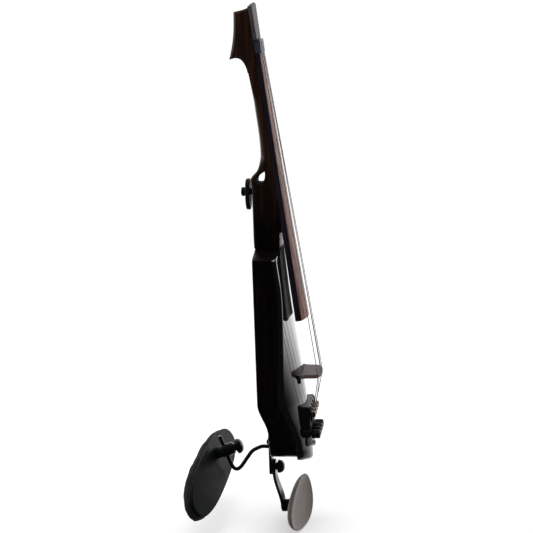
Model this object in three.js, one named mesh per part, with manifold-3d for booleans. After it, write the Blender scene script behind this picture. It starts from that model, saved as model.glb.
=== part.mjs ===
// Electric violin with a headless neck, a solid arched body, a tuner block at
// the tail, a thumb stop behind the heel, a chin rest and a shoulder rest.
//
// Millimetres. +X is the front, where the strings are, +Y is the treble side
// and +Z runs towards the head. The origin is the middle of the flat back.

import * as THREE from 'three';
import { mergeVertices } from 'three/addons/utils/BufferGeometryUtils.js';
import Module from 'manifold-3d';

const wasm = await Module();
wasm.setup();

// Fits that the whole instrument shares
const fitGap = 0.3;
const overrun = 3;

// Strings
const stringLength = 328;
const stringAngleDeg = 8.62;
const stringSpreadNut = 16.5;
const stringSpreadBridge = 34;
const stringRadii = { g: 0.42, d: 0.4, a: 0.36, e: 0.3 };
const crownRadius = 42;

// Bridge
const bridgeTopX = 62.2;
const bridgeTopZ = -52.5;
const bridgeThickness = 3.8;
const bridgeTopWidth = 38;
const bridgeFootWidth = 43;
const bridgeFootHeight = 3.2;
const bridgeHeight = 26;
const bridgeCornerDrop = 8.2;
const bridgeCornerRadius = 5.6;
const bridgeBassRise = 1.2;
const bridgeNotchDepth = 0.35;
const plugRadius = 1.2;
const plugLength = 5;
const plugY = 19.6;
const pickupThickness = 1.4;
const pickupWidth = 9;

// Fingerboard, nut and head plate, in the tilted plane of the neck's front
const boardAngleDeg = 6.96;
const boardLength = 268;
const boardNutX = 5.9;
const boardNutZ = 271.5;
const boardNutWidth = 24;
const boardEndWidth = 42;
const boardNutSide = 4.3;
const boardEndSide = 5.8;
const boardHollowDepth = 2.2;
const boardHollowLength = 84;
const nutLength = 12.6;
const nutProud = 1.9;
const nutGrooveDepth = 1.5;
const nutGrooveWidth = 1.4;
const overlayThickness = 4.1;
const overlayLength = 33.6;
const overlayTopWidth = 30;

// Neck, head and heel
const neckWallAtBoard = 0.4;
const neckRoundness = 2.35;
const heelSquareness = 9;
const heelTopZ = 152;
const heelSeatWidth = 44;
const heelFrontX = 25.1;
const heelStepZ = 96;
const headWidthShare = 1.18;
const headChamfer = 2;
const headDepthX = 21;
const headHornDrop = 5.5;
const headBackLength = 46;
const leafLength = 17.2;
const leafWidth = 7.8;
const leafX = 6.4;
const leafZ = 149.7;
const leafTiltDeg = 37;

// Neck joint
const tenonWidth = 20;
const tenonDepth = 13;
const tenonLength = 34;
const tenonX = 13.5;
const neckBoltRadius = 2.5;
const neckBoltHeadRadius = 4.4;
const neckBoltHeadHeight = 2.4;
const neckBoltInset = 9;
const neckBoltSpacing = 16;

// Body, from the shoulder at the heel to the tail
const bodyHalfWidth = 46;
const shoulderTopZ = 79.5;
const shoulderZ = 74;
const creaseZ = -75;
const tailCornerZ = -132;
const tailZ = -142;
const tailHalfWidth = 23;
const tailBackX = 8;
const tailBackRiseZ = -110;
const rimX = 28;
const crownX = 50.5;
const topThickness = 4;
const topEdgeRadius = 3;
const topLip = 4.8;
const topTailRadius = 6;
const backEdgeChamfer = 1.4;

// Thumb stop behind the heel
const thumbZ = 134.4;
const thumbLength = 31.5;
const thumbWidth = 21;
const thumbThickness = 4.4;
const thumbStandoff = 3.1;
const thumbPlateDrop = 2.5;
const thumbTravel = 6;
const thumbStudRadius = 1.9;
const thumbStudInset = 10;
const thumbKnobRadius = 4.6;
const thumbKnobHeight = 3.6;
const thumbHubHeight = 0.9;

// Tuner block
const blockTopZ = -83.5;
const blockLength = 32.8;
const blockWidth = 46;
const blockFrontX = 50.7;
const blockFlangeLength = 7;
const blockFlangeProud = 1.3;
const tongueLength = 11.8;
const tongueWidth = 40;
const tongueThickness = 1.5;
const tongueNotchWidth = 15;
const blockChamfer = 1.2;
const knobCount = 4;
const knobSpacing = 11;
const knobRadius = 4.5;
const knobHeight = 9;
const knobZ = -113.8;
const knobRidges = 15;
const knobRidgeDepth = 0.5;
const knobShaftRadius = 1.6;
const knobShaftLength = 4;
const clampLength = 5.6;
const clampWidth = 5.4;
const clampHeight = 4.8;
const clampSlotWidth = 1.4;
const clampFootWidth = 3.2;
const clampFootDepth = 2;
const clampTopZ = -89.6;
const clampTravel = 4;
const clampToeLength = 4;
const clampToeHeight = 1.8;
const blockScrewY = 11;
const blockScrewZ = -100;
const blockScrewRadius = 2;
const blockScrewHead = 2.6;
const tailScrewRadius = 3.8;
const tailScrewHead = 2.6;
const tailScrewZ = -128.4;

// Controls in a pocket in the treble half of the back
const coverLowY = 5;
const coverHighY = 41;
const coverLowZ = -64;
const coverHighZ = 36;
const coverThickness = 2;
const coverCornerRadius = 5;
const pocketMargin = 4.5;
const pocketDepth = 20;
const coverScrewRadius = 2.4;
const coverScrewInset = 3.4;
const coverScrewLength = 9;
const coverScrewShank = 1.1;
const controlX = 12.6;
const volumeZ = 19;
const toneZ = -6;
const potRadius = 6.6;
const potHeight = 8;
const potShaftRadius = 3;
const potShaftLength = 11;
const dialRadius = 7.4;
const dialHeight = 7;
const jackZ = -44;
const jackBoreRadius = 3.35;
const jackBarrelRadius = 5.6;
const jackLength = 30;
const jackFlangeRadius = 8.4;
const jackFlangeHeight = 1.6;
const boardCardWidth = 17;
const boardCardHeight = 34;
const boardCardThickness = 1.6;
const boardCardZ = 9;
const leadRadius = 0.9;

// Shoulder rest
const rodRadius = 2;
const rodZ = -133.8;
const rodInsert = 14;
const rodReach = 49.6;
const rodSag = 4.6;
const rodRun = 28.4;
const rodTipLength = 16.6;
const socketRadius = 4.5;
const socketLength = 21;
const clampTiltDeg = 20;
const gripRadius = 6.6;
const gripFront = 10;
const gripBack = 5;
const gripKnobRadius = 7.9;
const gripKnobDome = 6.6;
const gripKnobNeck = 2.6;
const gripKnobNeckRadius = 4;
const bossRadius = 5.6;
const padLength = 170;
const padWidth = 46.4;
const padThickness = 11.6;
const padCrown = 2;
const padSag = 4;
const padBow = 4;
const padTiltDeg = 29.9;
const padYawDeg = 7.8;
const padTurnDeg = 6;
const padEggShare = 0.07;
const padX = -56.8;
const padY = -15;
const padZ = -156.8;
const plateInset = 2.6;
const plateThickness = 2.4;

// Chin rest
const strapThickness = 3;
const strapWidth = 16;
const bracketTopZ = -124.5;
const chinPivotZ = -155.5;
const chinStrapLift = 8;
const chinKnobRadius = 7;
const chinKnobDome = 7.2;
const chinKnobNeck = 1.6;
const dishLength = 84;
const dishWidth = 46.6;
const dishThickness = 8;
const dishHollow = 2.6;
const dishEggShare = -0.25;
const dishTiltDeg = 7.5;
const dishYawDeg = 9;
const dishTurnDeg = 4.7;
const dishX = 39.5;
const dishY = -20;
const dishZ = -189.2;
const mountRadius = 6.4;
const mountLength = 9.6;
const mountRibs = 4;
const mountRibDepth = 0.6;
const bracketScrewRadius = 2.7;
const bracketScrewHead = 1.6;

// Fineness of the curved faces
const archPoints = 12;
const roundSegments = 16;
const smallSegments = 12;
const bendSteps = 5;

const deg = Math.PI / 180;
const V = (x, y, z) => new THREE.Vector3(x, y, z);
const lerp = THREE.MathUtils.lerp;

const electricViolin = new THREE.Group();
electricViolin.name = 'electric_violin';

// Materials, one look each, cloned for every piece
const looks = {
  stainedWood: { color: 0x2a1410, roughness: 0.38, metalness: 0 },
  glossBlack: { color: 0x0d0c0e, roughness: 0.08, metalness: 0 },
  boardWood: { color: 0x33242a, roughness: 0.42, metalness: 0 },
  bridgeWood: { color: 0x4a3936, roughness: 0.55, metalness: 0 },
  blackMetal: { color: 0x15171a, roughness: 0.4, metalness: 0.7 },
  blackPlastic: { color: 0x17181a, roughness: 0.5, metalness: 0 },
  brass: { color: 0xb08a4c, roughness: 0.3, metalness: 1 },
  steel: { color: 0xc9ccd0, roughness: 0.22, metalness: 1 },
  foam: { color: 0x34383a, roughness: 0.9, metalness: 0 },
  board: { color: 0x1d4a2c, roughness: 0.6, metalness: 0 },
  lead: { color: 0x202226, roughness: 0.6, metalness: 0 },
};

function addPiece(parent, name, geometry, look) {
  const material = new THREE.MeshStandardMaterial(looks[look]);
  const mesh = new THREE.Mesh(geometry, material);
  mesh.name = name;
  parent.add(mesh);
  return mesh;
}

// Closed solids: joining and cutting
function solidOf(geometry) {
  const bare = geometry.clone();
  bare.deleteAttribute('normal');
  bare.deleteAttribute('uv');
  const merged = mergeVertices(bare, 1e-4);
  const vertProperties = new Float32Array(merged.attributes.position.array);
  const triVerts = new Uint32Array(merged.index.array);
  return new wasm.Manifold(new wasm.Mesh({ numProp: 3, vertProperties, triVerts }));
}

function geometryOf(solid) {
  const mesh = solid.getMesh();
  const geometry = new THREE.BufferGeometry();
  geometry.setAttribute('position', new THREE.BufferAttribute(mesh.vertProperties, 3));
  geometry.setIndex(new THREE.BufferAttribute(mesh.triVerts, 1));
  geometry.computeVertexNormals();
  return geometry;
}

function join(...geometries) {
  return geometryOf(geometries.map(solidOf).reduce((whole, part) => whole.add(part)));
}

function cut(geometry, ...tools) {
  return geometryOf(tools.map(solidOf).reduce((left, tool) => left.subtract(tool), solidOf(geometry)));
}

function shared(first, second) {
  return geometryOf(solidOf(first).intersect(solidOf(second)));
}

// Skin over a list of rings of equal length, closed by a fan at each end
function loft(rings) {
  const sides = rings[0].length;
  const positions = [];
  for (const ring of rings) {
    for (const point of ring) positions.push(point.x, point.y, point.z);
  }
  const index = [];
  for (let r = 0; r + 1 < rings.length; r += 1) {
    for (let s = 0; s < sides; s += 1) {
      const a = r * sides + s;
      const b = r * sides + ((s + 1) % sides);
      index.push(a, b, b + sides, a, b + sides, a + sides);
    }
  }
  const closeEnd = (ring, start, flip) => {
    const middle = V(0, 0, 0);
    for (const point of ring) middle.addScaledVector(point, 1 / sides);
    const centre = positions.length / 3;
    positions.push(middle.x, middle.y, middle.z);
    for (let s = 0; s < sides; s += 1) {
      const a = start + s;
      const b = start + ((s + 1) % sides);
      index.push(centre, flip ? a : b, flip ? b : a);
    }
  };
  closeEnd(rings[0], 0, false);
  closeEnd(rings[rings.length - 1], (rings.length - 1) * sides, true);
  const geometry = new THREE.BufferGeometry();
  geometry.setAttribute('position', new THREE.Float32BufferAttribute(positions, 3));
  geometry.setIndex(index);
  return facingOut(geometry);
}

// Turns every triangle round when the skin is inside out
function facingOut(geometry) {
  const points = geometry.attributes.position;
  const index = geometry.index.array;
  const [a, b, c] = [V(0, 0, 0), V(0, 0, 0), V(0, 0, 0)];
  let volume = 0;
  for (let i = 0; i < index.length; i += 3) {
    a.fromBufferAttribute(points, index[i]);
    b.fromBufferAttribute(points, index[i + 1]);
    c.fromBufferAttribute(points, index[i + 2]);
    volume += a.dot(b.cross(c));
  }
  if (volume < 0) {
    for (let i = 0; i < index.length; i += 3) {
      const keep = index[i + 1];
      index[i + 1] = index[i + 2];
      index[i + 2] = keep;
    }
  }
  geometry.computeVertexNormals();
  return geometry;
}

// Smooth value of a table of [place, value] rows, with places that rise
function smoothAt(table, place) {
  const last = table.length - 1;
  if (place <= table[0][0]) return table[0][1];
  if (place >= table[last][0]) return table[last][1];
  let i = 0;
  while (table[i + 1][0] < place) i += 1;
  const slope = (k) => {
    const low = table[Math.max(k - 1, 0)];
    const high = table[Math.min(k + 1, last)];
    return (high[1] - low[1]) / (high[0] - low[0]);
  };
  const width = table[i + 1][0] - table[i][0];
  const t = (place - table[i][0]) / width;
  const rise = (1 + 2 * t) * (1 - t) * (1 - t) * table[i][1] + t * t * (3 - 2 * t) * table[i + 1][1];
  return rise + width * (t * (1 - t) * (1 - t) * slope(i) - t * t * (1 - t) * slope(i + 1));
}

// Basic bodies along the X, Y and Z directions
function box(lowX, highX, lowY, highY, lowZ, highZ) {
  const geometry = new THREE.BoxGeometry(highX - lowX, highY - lowY, highZ - lowZ);
  geometry.translate((lowX + highX) / 2, (lowY + highY) / 2, (lowZ + highZ) / 2);
  return geometry;
}

function turned(profile, segments = roundSegments) {
  const points = profile.map(([radius, height]) => new THREE.Vector2(radius, height));
  const geometry = new THREE.LatheGeometry(points, segments);
  geometry.rotateX(90 * deg);
  return facingOut(mergedCopy(geometry));
}

function mergedCopy(geometry) {
  const bare = geometry.clone();
  bare.deleteAttribute('normal');
  bare.deleteAttribute('uv');
  return dropFlatTriangles(mergeVertices(bare, 1e-4));
}

function dropFlatTriangles(geometry) {
  const kept = [];
  const index = geometry.index.array;
  for (let i = 0; i < index.length; i += 3) {
    const [a, b, c] = [index[i], index[i + 1], index[i + 2]];
    if (a !== b && b !== c && c !== a) kept.push(a, b, c);
  }
  geometry.setIndex(kept);
  return geometry;
}

function rodAlong(direction, radius, from, to, segments = smallSegments) {
  const geometry = turned([[0, from], [radius, from], [radius, to], [0, to]], segments);
  if (direction === 'x') geometry.rotateY(90 * deg);
  if (direction === 'y') geometry.rotateX(-90 * deg);
  return geometry;
}

function extrudeY(shape, lowY, highY, options = {}) {
  const settings = { depth: highY - lowY, bevelEnabled: false, curveSegments: 8, ...options };
  const geometry = new THREE.ExtrudeGeometry(shape, settings);
  geometry.rotateX(90 * deg);
  geometry.translate(0, highY, 0);
  return mergedCopy(geometry);
}

function extrudeX(shape, lowX, highX, options = {}) {
  const settings = { depth: highX - lowX, bevelEnabled: false, curveSegments: 8, ...options };
  const geometry = new THREE.ExtrudeGeometry(shape, settings);
  geometry.applyMatrix4(new THREE.Matrix4().makeBasis(V(0, 1, 0), V(0, 0, 1), V(1, 0, 0)));
  geometry.translate(lowX, 0, 0);
  return mergedCopy(geometry);
}

function shapeOf(points) {
  return new THREE.Shape(points.map(([u, v]) => new THREE.Vector2(u, v)));
}

function roundedRectangle(lowU, highU, lowV, highV, radius) {
  const shape = new THREE.Shape();
  shape.moveTo(lowU + radius, lowV);
  shape.lineTo(highU - radius, lowV);
  shape.absarc(highU - radius, lowV + radius, radius, -90 * deg, 0, false);
  shape.lineTo(highU, highV - radius);
  shape.absarc(highU - radius, highV - radius, radius, 0, 90 * deg, false);
  shape.lineTo(lowU + radius, highV);
  shape.absarc(lowU + radius, highV - radius, radius, 90 * deg, 180 * deg, false);
  shape.lineTo(lowU, lowV + radius);
  shape.absarc(lowU + radius, lowV + radius, radius, 180 * deg, 270 * deg, false);
  return shape;
}

// Knurled grip along Z, with chamfered ends
function knurledGrip(radius, low, high) {
  const outline = [];
  for (let i = 0; i < knobRidges * 2; i += 1) {
    const reach = i % 2 === 0 ? radius : radius - knobRidgeDepth;
    const angle = (i / (knobRidges * 2)) * 360 * deg;
    outline.push([reach * Math.cos(angle), reach * Math.sin(angle)]);
  }
  const endScale = 1 - (knobRidgeDepth * 1.6) / radius;
  const layers = [
    [endScale, low], [1, low + knobRidgeDepth], [1, high - knobRidgeDepth], [endScale, high],
  ];
  return stacked(outline, layers, V);
}

function oval(length, width, power, points) {
  const outline = [];
  for (let i = 0; i < points; i += 1) {
    const c = Math.cos((i / points) * 360 * deg);
    const s = Math.sin((i / points) * 360 * deg);
    const u = Math.sign(c) * Math.abs(c) ** (2 / power);
    const v = Math.sign(s) * Math.abs(s) ** (2 / power);
    outline.push([(u * length) / 2, (v * width) / 2]);
  }
  return outline;
}

// The same outline with one end wider than the other
function eggOf(outline, length, eggShare) {
  return outline.map(([u, v]) => [u, v * (1 + eggShare * (u / (length / 2)))]);
}

// Tube along a path with rounded corners
function bentRod(points, cornerLengths, radius, segments = smallSegments) {
  const path = new THREE.CurvePath();
  let from = points[0];
  for (let i = 1; i + 1 < points.length; i += 1) {
    const toward = points[i - 1].clone().sub(points[i]).setLength(cornerLengths[i - 1]);
    const away = points[i + 1].clone().sub(points[i]).setLength(cornerLengths[i - 1]);
    const enter = points[i].clone().add(toward);
    const leave = points[i].clone().add(away);
    path.add(new THREE.LineCurve3(from, enter));
    path.add(new THREE.QuadraticBezierCurve3(enter, points[i], leave));
    from = leave;
  }
  path.add(new THREE.LineCurve3(from, points[points.length - 1]));
  return tubeThrough(pathStops(path), radius, segments);
}

// Stops at the ends of straight runs and along each bend
function pathStops(path) {
  const stops = [path.curves[0].getPoint(0)];
  for (const curve of path.curves) {
    const steps = curve.isLineCurve3 ? 1 : bendSteps;
    for (let i = 1; i <= steps; i += 1) stops.push(curve.getPoint(i / steps));
  }
  return stops;
}

function tubeThrough(stops, radius, segments) {
  const rings = [];
  let side = null;
  for (let i = 0; i < stops.length; i += 1) {
    const before = stops[Math.max(i - 1, 0)];
    const after = stops[Math.min(i + 1, stops.length - 1)];
    const inward = i === 0 ? after.clone().sub(before) : stops[i].clone().sub(before);
    const outward = i === stops.length - 1 ? inward.clone() : after.clone().sub(stops[i]);
    inward.normalize();
    outward.normalize();
    const along = inward.clone().add(outward).normalize();
    if (!side) side = sideOf(along);
    side.addScaledVector(along, -side.dot(along)).normalize();
    const up = along.clone().cross(side);
    const stretch = 1 / Math.max(inward.dot(along), 0.7);
    const bend = outward.clone().sub(inward);
    const bendOut = bend.lengthSq() > 1e-9 ? bend.normalize() : side.clone();
    const ring = [];
    for (let s = 0; s < segments; s += 1) {
      const angle = (s / segments) * 360 * deg;
      const offset = side.clone().multiplyScalar(radius * Math.cos(angle));
      offset.addScaledVector(up, radius * Math.sin(angle));
      offset.addScaledVector(bendOut, offset.dot(bendOut) * (stretch - 1));
      ring.push(stops[i].clone().add(offset));
    }
    rings.push(ring);
  }
  return loft(rings);
}

function sideOf(along) {
  const reference = Math.abs(along.y) < 0.9 ? V(0, 1, 0) : V(1, 0, 0);
  return reference.addScaledVector(along, -reference.dot(along)).normalize();
}

// Outline rings stacked along local Z, each with a [scale, height] row
function stacked(outline, layers, bend) {
  return loft(layers.map(([scale, height]) => outline.map(([u, v]) => bend(u * scale, v * scale, height))));
}

// A direction tilted from +X towards +Z and turned towards the bass side,
// with the long direction of what it carries turned in its own plane
function tiltedAxes(tiltDeg, yawDeg, turnDeg) {
  const tilt = tiltDeg * deg;
  const yaw = yawDeg * deg;
  const normal = V(Math.cos(tilt) * Math.cos(yaw), -Math.sin(yaw), Math.sin(tilt) * Math.cos(yaw));
  const long = V(0, -1, 0).addScaledVector(normal, normal.y).normalize();
  const short = normal.clone().cross(long);
  const turn = turnDeg * deg;
  const length = long.multiplyScalar(Math.cos(turn)).addScaledVector(short, Math.sin(turn));
  const width = normal.clone().cross(length);
  return new THREE.Matrix4().makeBasis(length, width, normal);
}

// Neck plane: where the fingerboard, the nut and the head plate sit
const boardAngle = boardAngleDeg * deg;
const boardSlope = Math.tan(boardAngle);
const neckPlane = new THREE.Group();
neckPlane.position.set(boardNutX, 0, boardNutZ);
neckPlane.rotation.y = -boardAngle;
electricViolin.add(neckPlane);

const boardUnderX = (z) => boardNutX + (boardNutZ - z) * boardSlope;
const boardHalfAt = (back) => lerp(boardNutWidth, boardEndWidth, back / boardLength) / 2;

function boardSection(halfWidth, side, localZ) {
  const ring = [V(0, -halfWidth, localZ), V(0, halfWidth, localZ)];
  const half = Math.asin(halfWidth / crownRadius);
  for (let i = 0; i <= archPoints; i += 1) {
    const angle = lerp(half, -half, i / archPoints);
    const lift = crownRadius * (Math.cos(angle) - Math.cos(half));
    ring.push(V(side + lift, crownRadius * Math.sin(angle), localZ));
  }
  return ring;
}

// Fingerboard, hollowed under its free end
{
  const board = loft([
    boardSection(boardNutWidth / 2, boardNutSide, 0),
    boardSection(boardEndWidth / 2, boardEndSide, -boardLength),
  ]);
  const hollowWidth = boardEndWidth * 0.7;
  const hollowRadius = (hollowWidth * hollowWidth) / (8 * boardHollowDepth) + boardHollowDepth / 2;
  const hollow = turned([
    [0, -boardLength - overrun], [hollowRadius, -boardLength - overrun],
    [hollowRadius, -boardLength + boardHollowLength], [0, -boardLength + boardHollowLength],
  ], roundSegments * 5);
  hollow.translate(boardHollowDepth - hollowRadius, 0, 0);
  addPiece(neckPlane, 'fingerboard', cut(board, hollow), 'boardWood');
}

// Places of the four strings, bass first
const stringNames = ['g', 'd', 'a', 'e'];
const spreadAt = (spread, i) => lerp(-spread / 2, spread / 2, i / (stringNames.length - 1));
const archDrop = (y) => crownRadius - Math.sqrt(crownRadius * crownRadius - y * y);
const stringAngle = stringAngleDeg * deg;
const nutTopX = bridgeTopX - stringLength * Math.sin(stringAngle);
const nutTopZ = bridgeTopZ + stringLength * Math.cos(stringAngle);
const nutPoints = stringNames.map((name, i) => {
  const y = spreadAt(stringSpreadNut, i);
  return V(nutTopX - archDrop(y), y, nutTopZ);
});
const bridgePoints = stringNames.map((name, i) => {
  const y = spreadAt(stringSpreadBridge, i);
  const rise = (-y / stringSpreadBridge) * bridgeBassRise;
  return V(bridgeTopX - archDrop(y) + rise, y, bridgeTopZ);
});

// Nut block with a groove for each string
{
  const half = boardNutWidth / 2;
  const crown = boardNutSide + archDrop(half) + nutProud;
  const block = loft([
    boardSection(half, crown - archDrop(half), fitGap),
    boardSection(half, crown - archDrop(half), fitGap + nutLength),
  ]);
  const grooves = nutPoints.map((point) => {
    const top = crown - archDrop(point.y);
    const floor = top - nutGrooveDepth;
    const endWall = nutLength * 0.12;
    const reach = fitGap + nutLength - endWall;
    const [low, high] = [point.y - nutGrooveWidth / 2, point.y + nutGrooveWidth / 2];
    return box(floor, top + overrun, low, high, -overrun, reach);
  });
  addPiece(neckPlane, 'nut', cut(block, ...grooves), 'blackPlastic');
}

// Strings over the nut and the bridge into the clamps
const clampStringX = blockFrontX + clampHeight * 0.6;
const clampPoints = Array.from({ length: knobCount }, (unused, i) => {
  const y = (i - (knobCount - 1) / 2) * knobSpacing;
  return V(clampStringX, y, clampTopZ);
});
const knobPlaces = clampPoints.map((point) => point.y);
for (const [i, name] of stringNames.entries()) {
  const nutAxis = V(-Math.sin(boardAngle), 0, Math.cos(boardAngle));
  const anchor = nutPoints[i].clone().addScaledVector(nutAxis, nutLength * 0.75);
  const tail = clampPoints[i].clone();
  tail.z -= clampLength - clampWidth / 4;
  const stops = [anchor, nutPoints[i], bridgePoints[i], clampPoints[i], tail];
  addPiece(electricViolin, `string_${name}`, tubeThrough(stops, stringRadii[name], 6), 'steel');
}

// Neck with its head and heel
const neckTopZ = boardNutZ + nutLength;
const neckBottomZ = shoulderTopZ + fitGap;
const neckSpan = boardNutZ - neckBottomZ;
const neckDepthUnit = 10;
// Distance of the back from the body's back plane, from heel seat to nut
const neckBackShares = [
  [0, -0.16], [0.05, -0.2], [0.2, -0.22], [0.3, -0.22], [0.31, -0.22],
  [0.335, -0.27], [0.35, -0.33], [0.364, -0.3], [0.377, -0.12], [0.392, 0.18],
  [0.413, 0.43], [0.438, 0.56], [0.475, 0.63], [0.561, 0.57],
  [0.62, 0.46], [0.712, 0.25], [0.834, -0.02], [0.905, -0.24], [0.95, -0.4], [1.07, -0.6],
];
const neckBackX = (z) => neckDepthUnit * smoothAt(neckBackShares, (z - neckBottomZ) / neckSpan);
const squareStart = heelTopZ + neckDepthUnit * 2;

function neckFrontX(z) {
  return z < heelStepZ ? heelFrontX : boardUnderX(z) - neckWallAtBoard;
}

function neckHalfWidth(z) {
  const board = boardHalfAt((boardNutZ - z) / Math.cos(boardAngle)) - fitGap;
  const seat = heelSeatWidth / 2;
  const flare = THREE.MathUtils.clamp((heelTopZ - z) / (heelTopZ - neckBottomZ), 0, 1);
  return lerp(board, seat, flare * flare);
}

function neckSection(z) {
  const squareShare = THREE.MathUtils.smoothstep(squareStart - z, 0, squareStart - heelTopZ);
  const power = lerp(neckRoundness, heelSquareness, squareShare);
  const half = neckHalfWidth(z);
  const front = neckFrontX(z);
  const depth = front - neckBackX(z);
  const ring = [];
  for (let i = 0; i <= archPoints; i += 1) {
    const angle = lerp(0, 180, i / archPoints) * deg;
    const c = Math.cos(angle);
    const y = Math.sign(c) * half * Math.abs(c) ** (2 / power);
    ring.push(V(front - depth * Math.sin(angle) ** (2 / power), y, z));
  }
  return ring;
}

function neckLoft() {
  const stepEdge = fitGap / 2;
  const heights = [heelStepZ - stepEdge, heelStepZ + stepEdge, neckTopZ];
  for (let i = 0; neckBackShares[i + 1][0] < 1; i += 1) {
    const [low, high] = [neckBackShares[i][0], neckBackShares[i + 1][0]];
    heights.push(neckBottomZ + neckSpan * low, neckBottomZ + (neckSpan * (low + high)) / 2);
  }
  heights.sort((a, b) => a - b);
  return loft(heights.map(neckSection));
}

// Side outline of the head in shares of its depth and back length
function headSolid() {
  const frontLow = boardUnderX(boardNutZ) - neckWallAtBoard;
  const lowZ = boardNutZ - headHornDrop;
  const topZ = lowZ + headBackLength;
  const backX = frontLow - headDepthX;
  const frontTop = boardUnderX(topZ);
  const shape = new THREE.Shape();
  shape.moveTo(frontTop + overrun, topZ + headHornDrop * 0.9);
  shape.quadraticCurveTo(
    frontTop - headDepthX * 0.4, topZ + headHornDrop * 0.05, backX + headDepthX * 0.085, topZ,
  );
  shape.lineTo(backX + headDepthX * 0.075, topZ - headHornDrop);
  const hornX = backX - headDepthX * 0.21;
  shape.bezierCurveTo(
    backX + headDepthX * 0.06, topZ - headBackLength * 0.5,
    backX - headDepthX * 0.04, lowZ + headHornDrop * 2.2, hornX, lowZ,
  );
  const throatX = neckBackX(lowZ - headHornDrop * 2.4);
  shape.bezierCurveTo(
    backX + headDepthX * 0.3, lowZ + headHornDrop * 0.9,
    throatX - headDepthX * 0.12, lowZ - headHornDrop * 0.4, throatX, lowZ - headHornDrop * 2.4,
  );
  const frontSteps = 6;
  for (let i = 0; i < frontSteps; i += 1) {
    shape.lineTo(frontLow + overrun, lerp(lowZ - headHornDrop * 2.4, topZ, i / frontSteps));
  }
  const half = (boardNutWidth * headWidthShare) / 2;
  const bevel = { bevelThickness: headChamfer, bevelSize: headChamfer, bevelOffset: -headChamfer };
  const options = { ...bevel, bevelEnabled: true, bevelSegments: 1, curveSegments: 7 };
  const head = extrudeY(shape, -half + headChamfer, half - headChamfer, options);
  const throatZ = lowZ - headHornDrop * 2.4;
  const taper = (x, y, z) => {
    const share = THREE.MathUtils.clamp((z - neckTopZ) / overlayLength, 0, 1);
    const flare = THREE.MathUtils.smoothstep(z, throatZ, neckTopZ - headHornDrop);
    return y * lerp(1, overlayTopWidth / (half * 2), share) * lerp(neckHalfWidth(z) / half, 1, flare);
  };
  bendY(head, taper);
  return head;
}

function bendY(geometry, rule) {
  const points = geometry.attributes.position;
  for (let i = 0; i < points.count; i += 1) {
    points.setY(i, rule(points.getX(i), points.getY(i), points.getZ(i)));
  }
}

// Everything in front of the neck plane is cut away from the head
function neckPlaneTool() {
  const reach = neckSpan;
  const tool = box(-neckWallAtBoard, reach, -reach, reach, -boardLength, reach);
  tool.rotateY(-boardAngle);
  tool.translate(boardNutX, 0, boardNutZ);
  return tool;
}

// Leaf-shaped hole through the heel, a lens with a long axis up and forward
function leafTool() {
  const shape = new THREE.Shape();
  const half = leafLength / 2;
  shape.moveTo(0, -half);
  shape.bezierCurveTo(leafWidth * 0.95, -half * 0.75, leafWidth * 0.75, half * 0.35, 0, half);
  shape.bezierCurveTo(-leafWidth * 0.3, half * 0.35, -leafWidth * 0.55, -half * 0.55, 0, -half);
  const tool = extrudeY(shape, -heelSeatWidth, heelSeatWidth);
  tool.rotateY(leafTiltDeg * deg);
  tool.translate(leafX, 0, leafZ);
  return tool;
}

// Neck joint: the tenon and its two bolts
const tenonLowX = tenonX - tenonDepth / 2;
const tenonHighX = tenonX + tenonDepth / 2;
const tenonBottomZ = shoulderTopZ - tenonLength;
const neckBoltPlaces = [0, 1].map((i) => shoulderTopZ - neckBoltInset - i * neckBoltSpacing);

function tenonSolid(gap, topZ) {
  const half = tenonWidth / 2 + gap;
  return box(tenonLowX - gap, tenonHighX + gap, -half, half, tenonBottomZ - gap, topZ);
}

{
  const whole = join(neckLoft(), cut(headSolid(), neckPlaneTool()), tenonSolid(0, neckBottomZ + overrun));
  const studHole = rodAlong('x', thumbStudRadius + fitGap, -neckDepthUnit, thumbStudInset);
  studHole.translate(0, 0, thumbZ);
  const boltHoles = neckBoltPlaces.map((z) => {
    const hole = rodAlong('x', neckBoltRadius + fitGap, tenonLowX - overrun, tenonHighX - overrun / 2);
    hole.translate(0, 0, z);
    return hole;
  });
  addPiece(electricViolin, 'neck', cut(whole, leafTool(), studHole, ...boltHoles), 'stainedWood');
}

for (const [i, z] of neckBoltPlaces.entries()) {
  const bolt = turned([
    [0, 0], [neckBoltHeadRadius, 0], [neckBoltHeadRadius, neckBoltHeadHeight],
    [neckBoltRadius, neckBoltHeadHeight], [neckBoltRadius, tenonHighX - overrun], [0, tenonHighX - overrun],
  ], smallSegments);
  bolt.rotateY(90 * deg);
  bolt.translate(fitGap, 0, z);
  addPiece(electricViolin, `neck_bolt_${i + 1}`, bolt, 'blackMetal');
}

// Head plate: glued to the head above the nut
{
  const low = fitGap * 2 + nutLength;
  const high = low + overlayLength;
  const half = overlayTopWidth / 2;
  const lowHalf = (boardNutWidth * headWidthShare) / 2;
  const tip = overlayThickness * 0.45;
  const plate = loft([0, overlayThickness].map((x) => {
    const lean = (x / overlayThickness) * tip;
    const points = [V(x, -lowHalf, low), V(x, lowHalf, low)];
    for (let i = 0; i <= archPoints; i += 1) {
      const y = lerp(half, -half, i / archPoints);
      const arch = 1 - (y / half) * (y / half);
      points.push(V(x, y, high - tip + lean + arch * tip));
    }
    return points;
  }));
  addPiece(neckPlane, 'head_overlay', plate, 'glossBlack');
}

// Body: half width, back, rim and crown at each height
const flatLength = shoulderZ - creaseZ;
const taperLength = creaseZ - tailCornerZ;
const topSpan = shoulderTopZ - tailZ;
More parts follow.
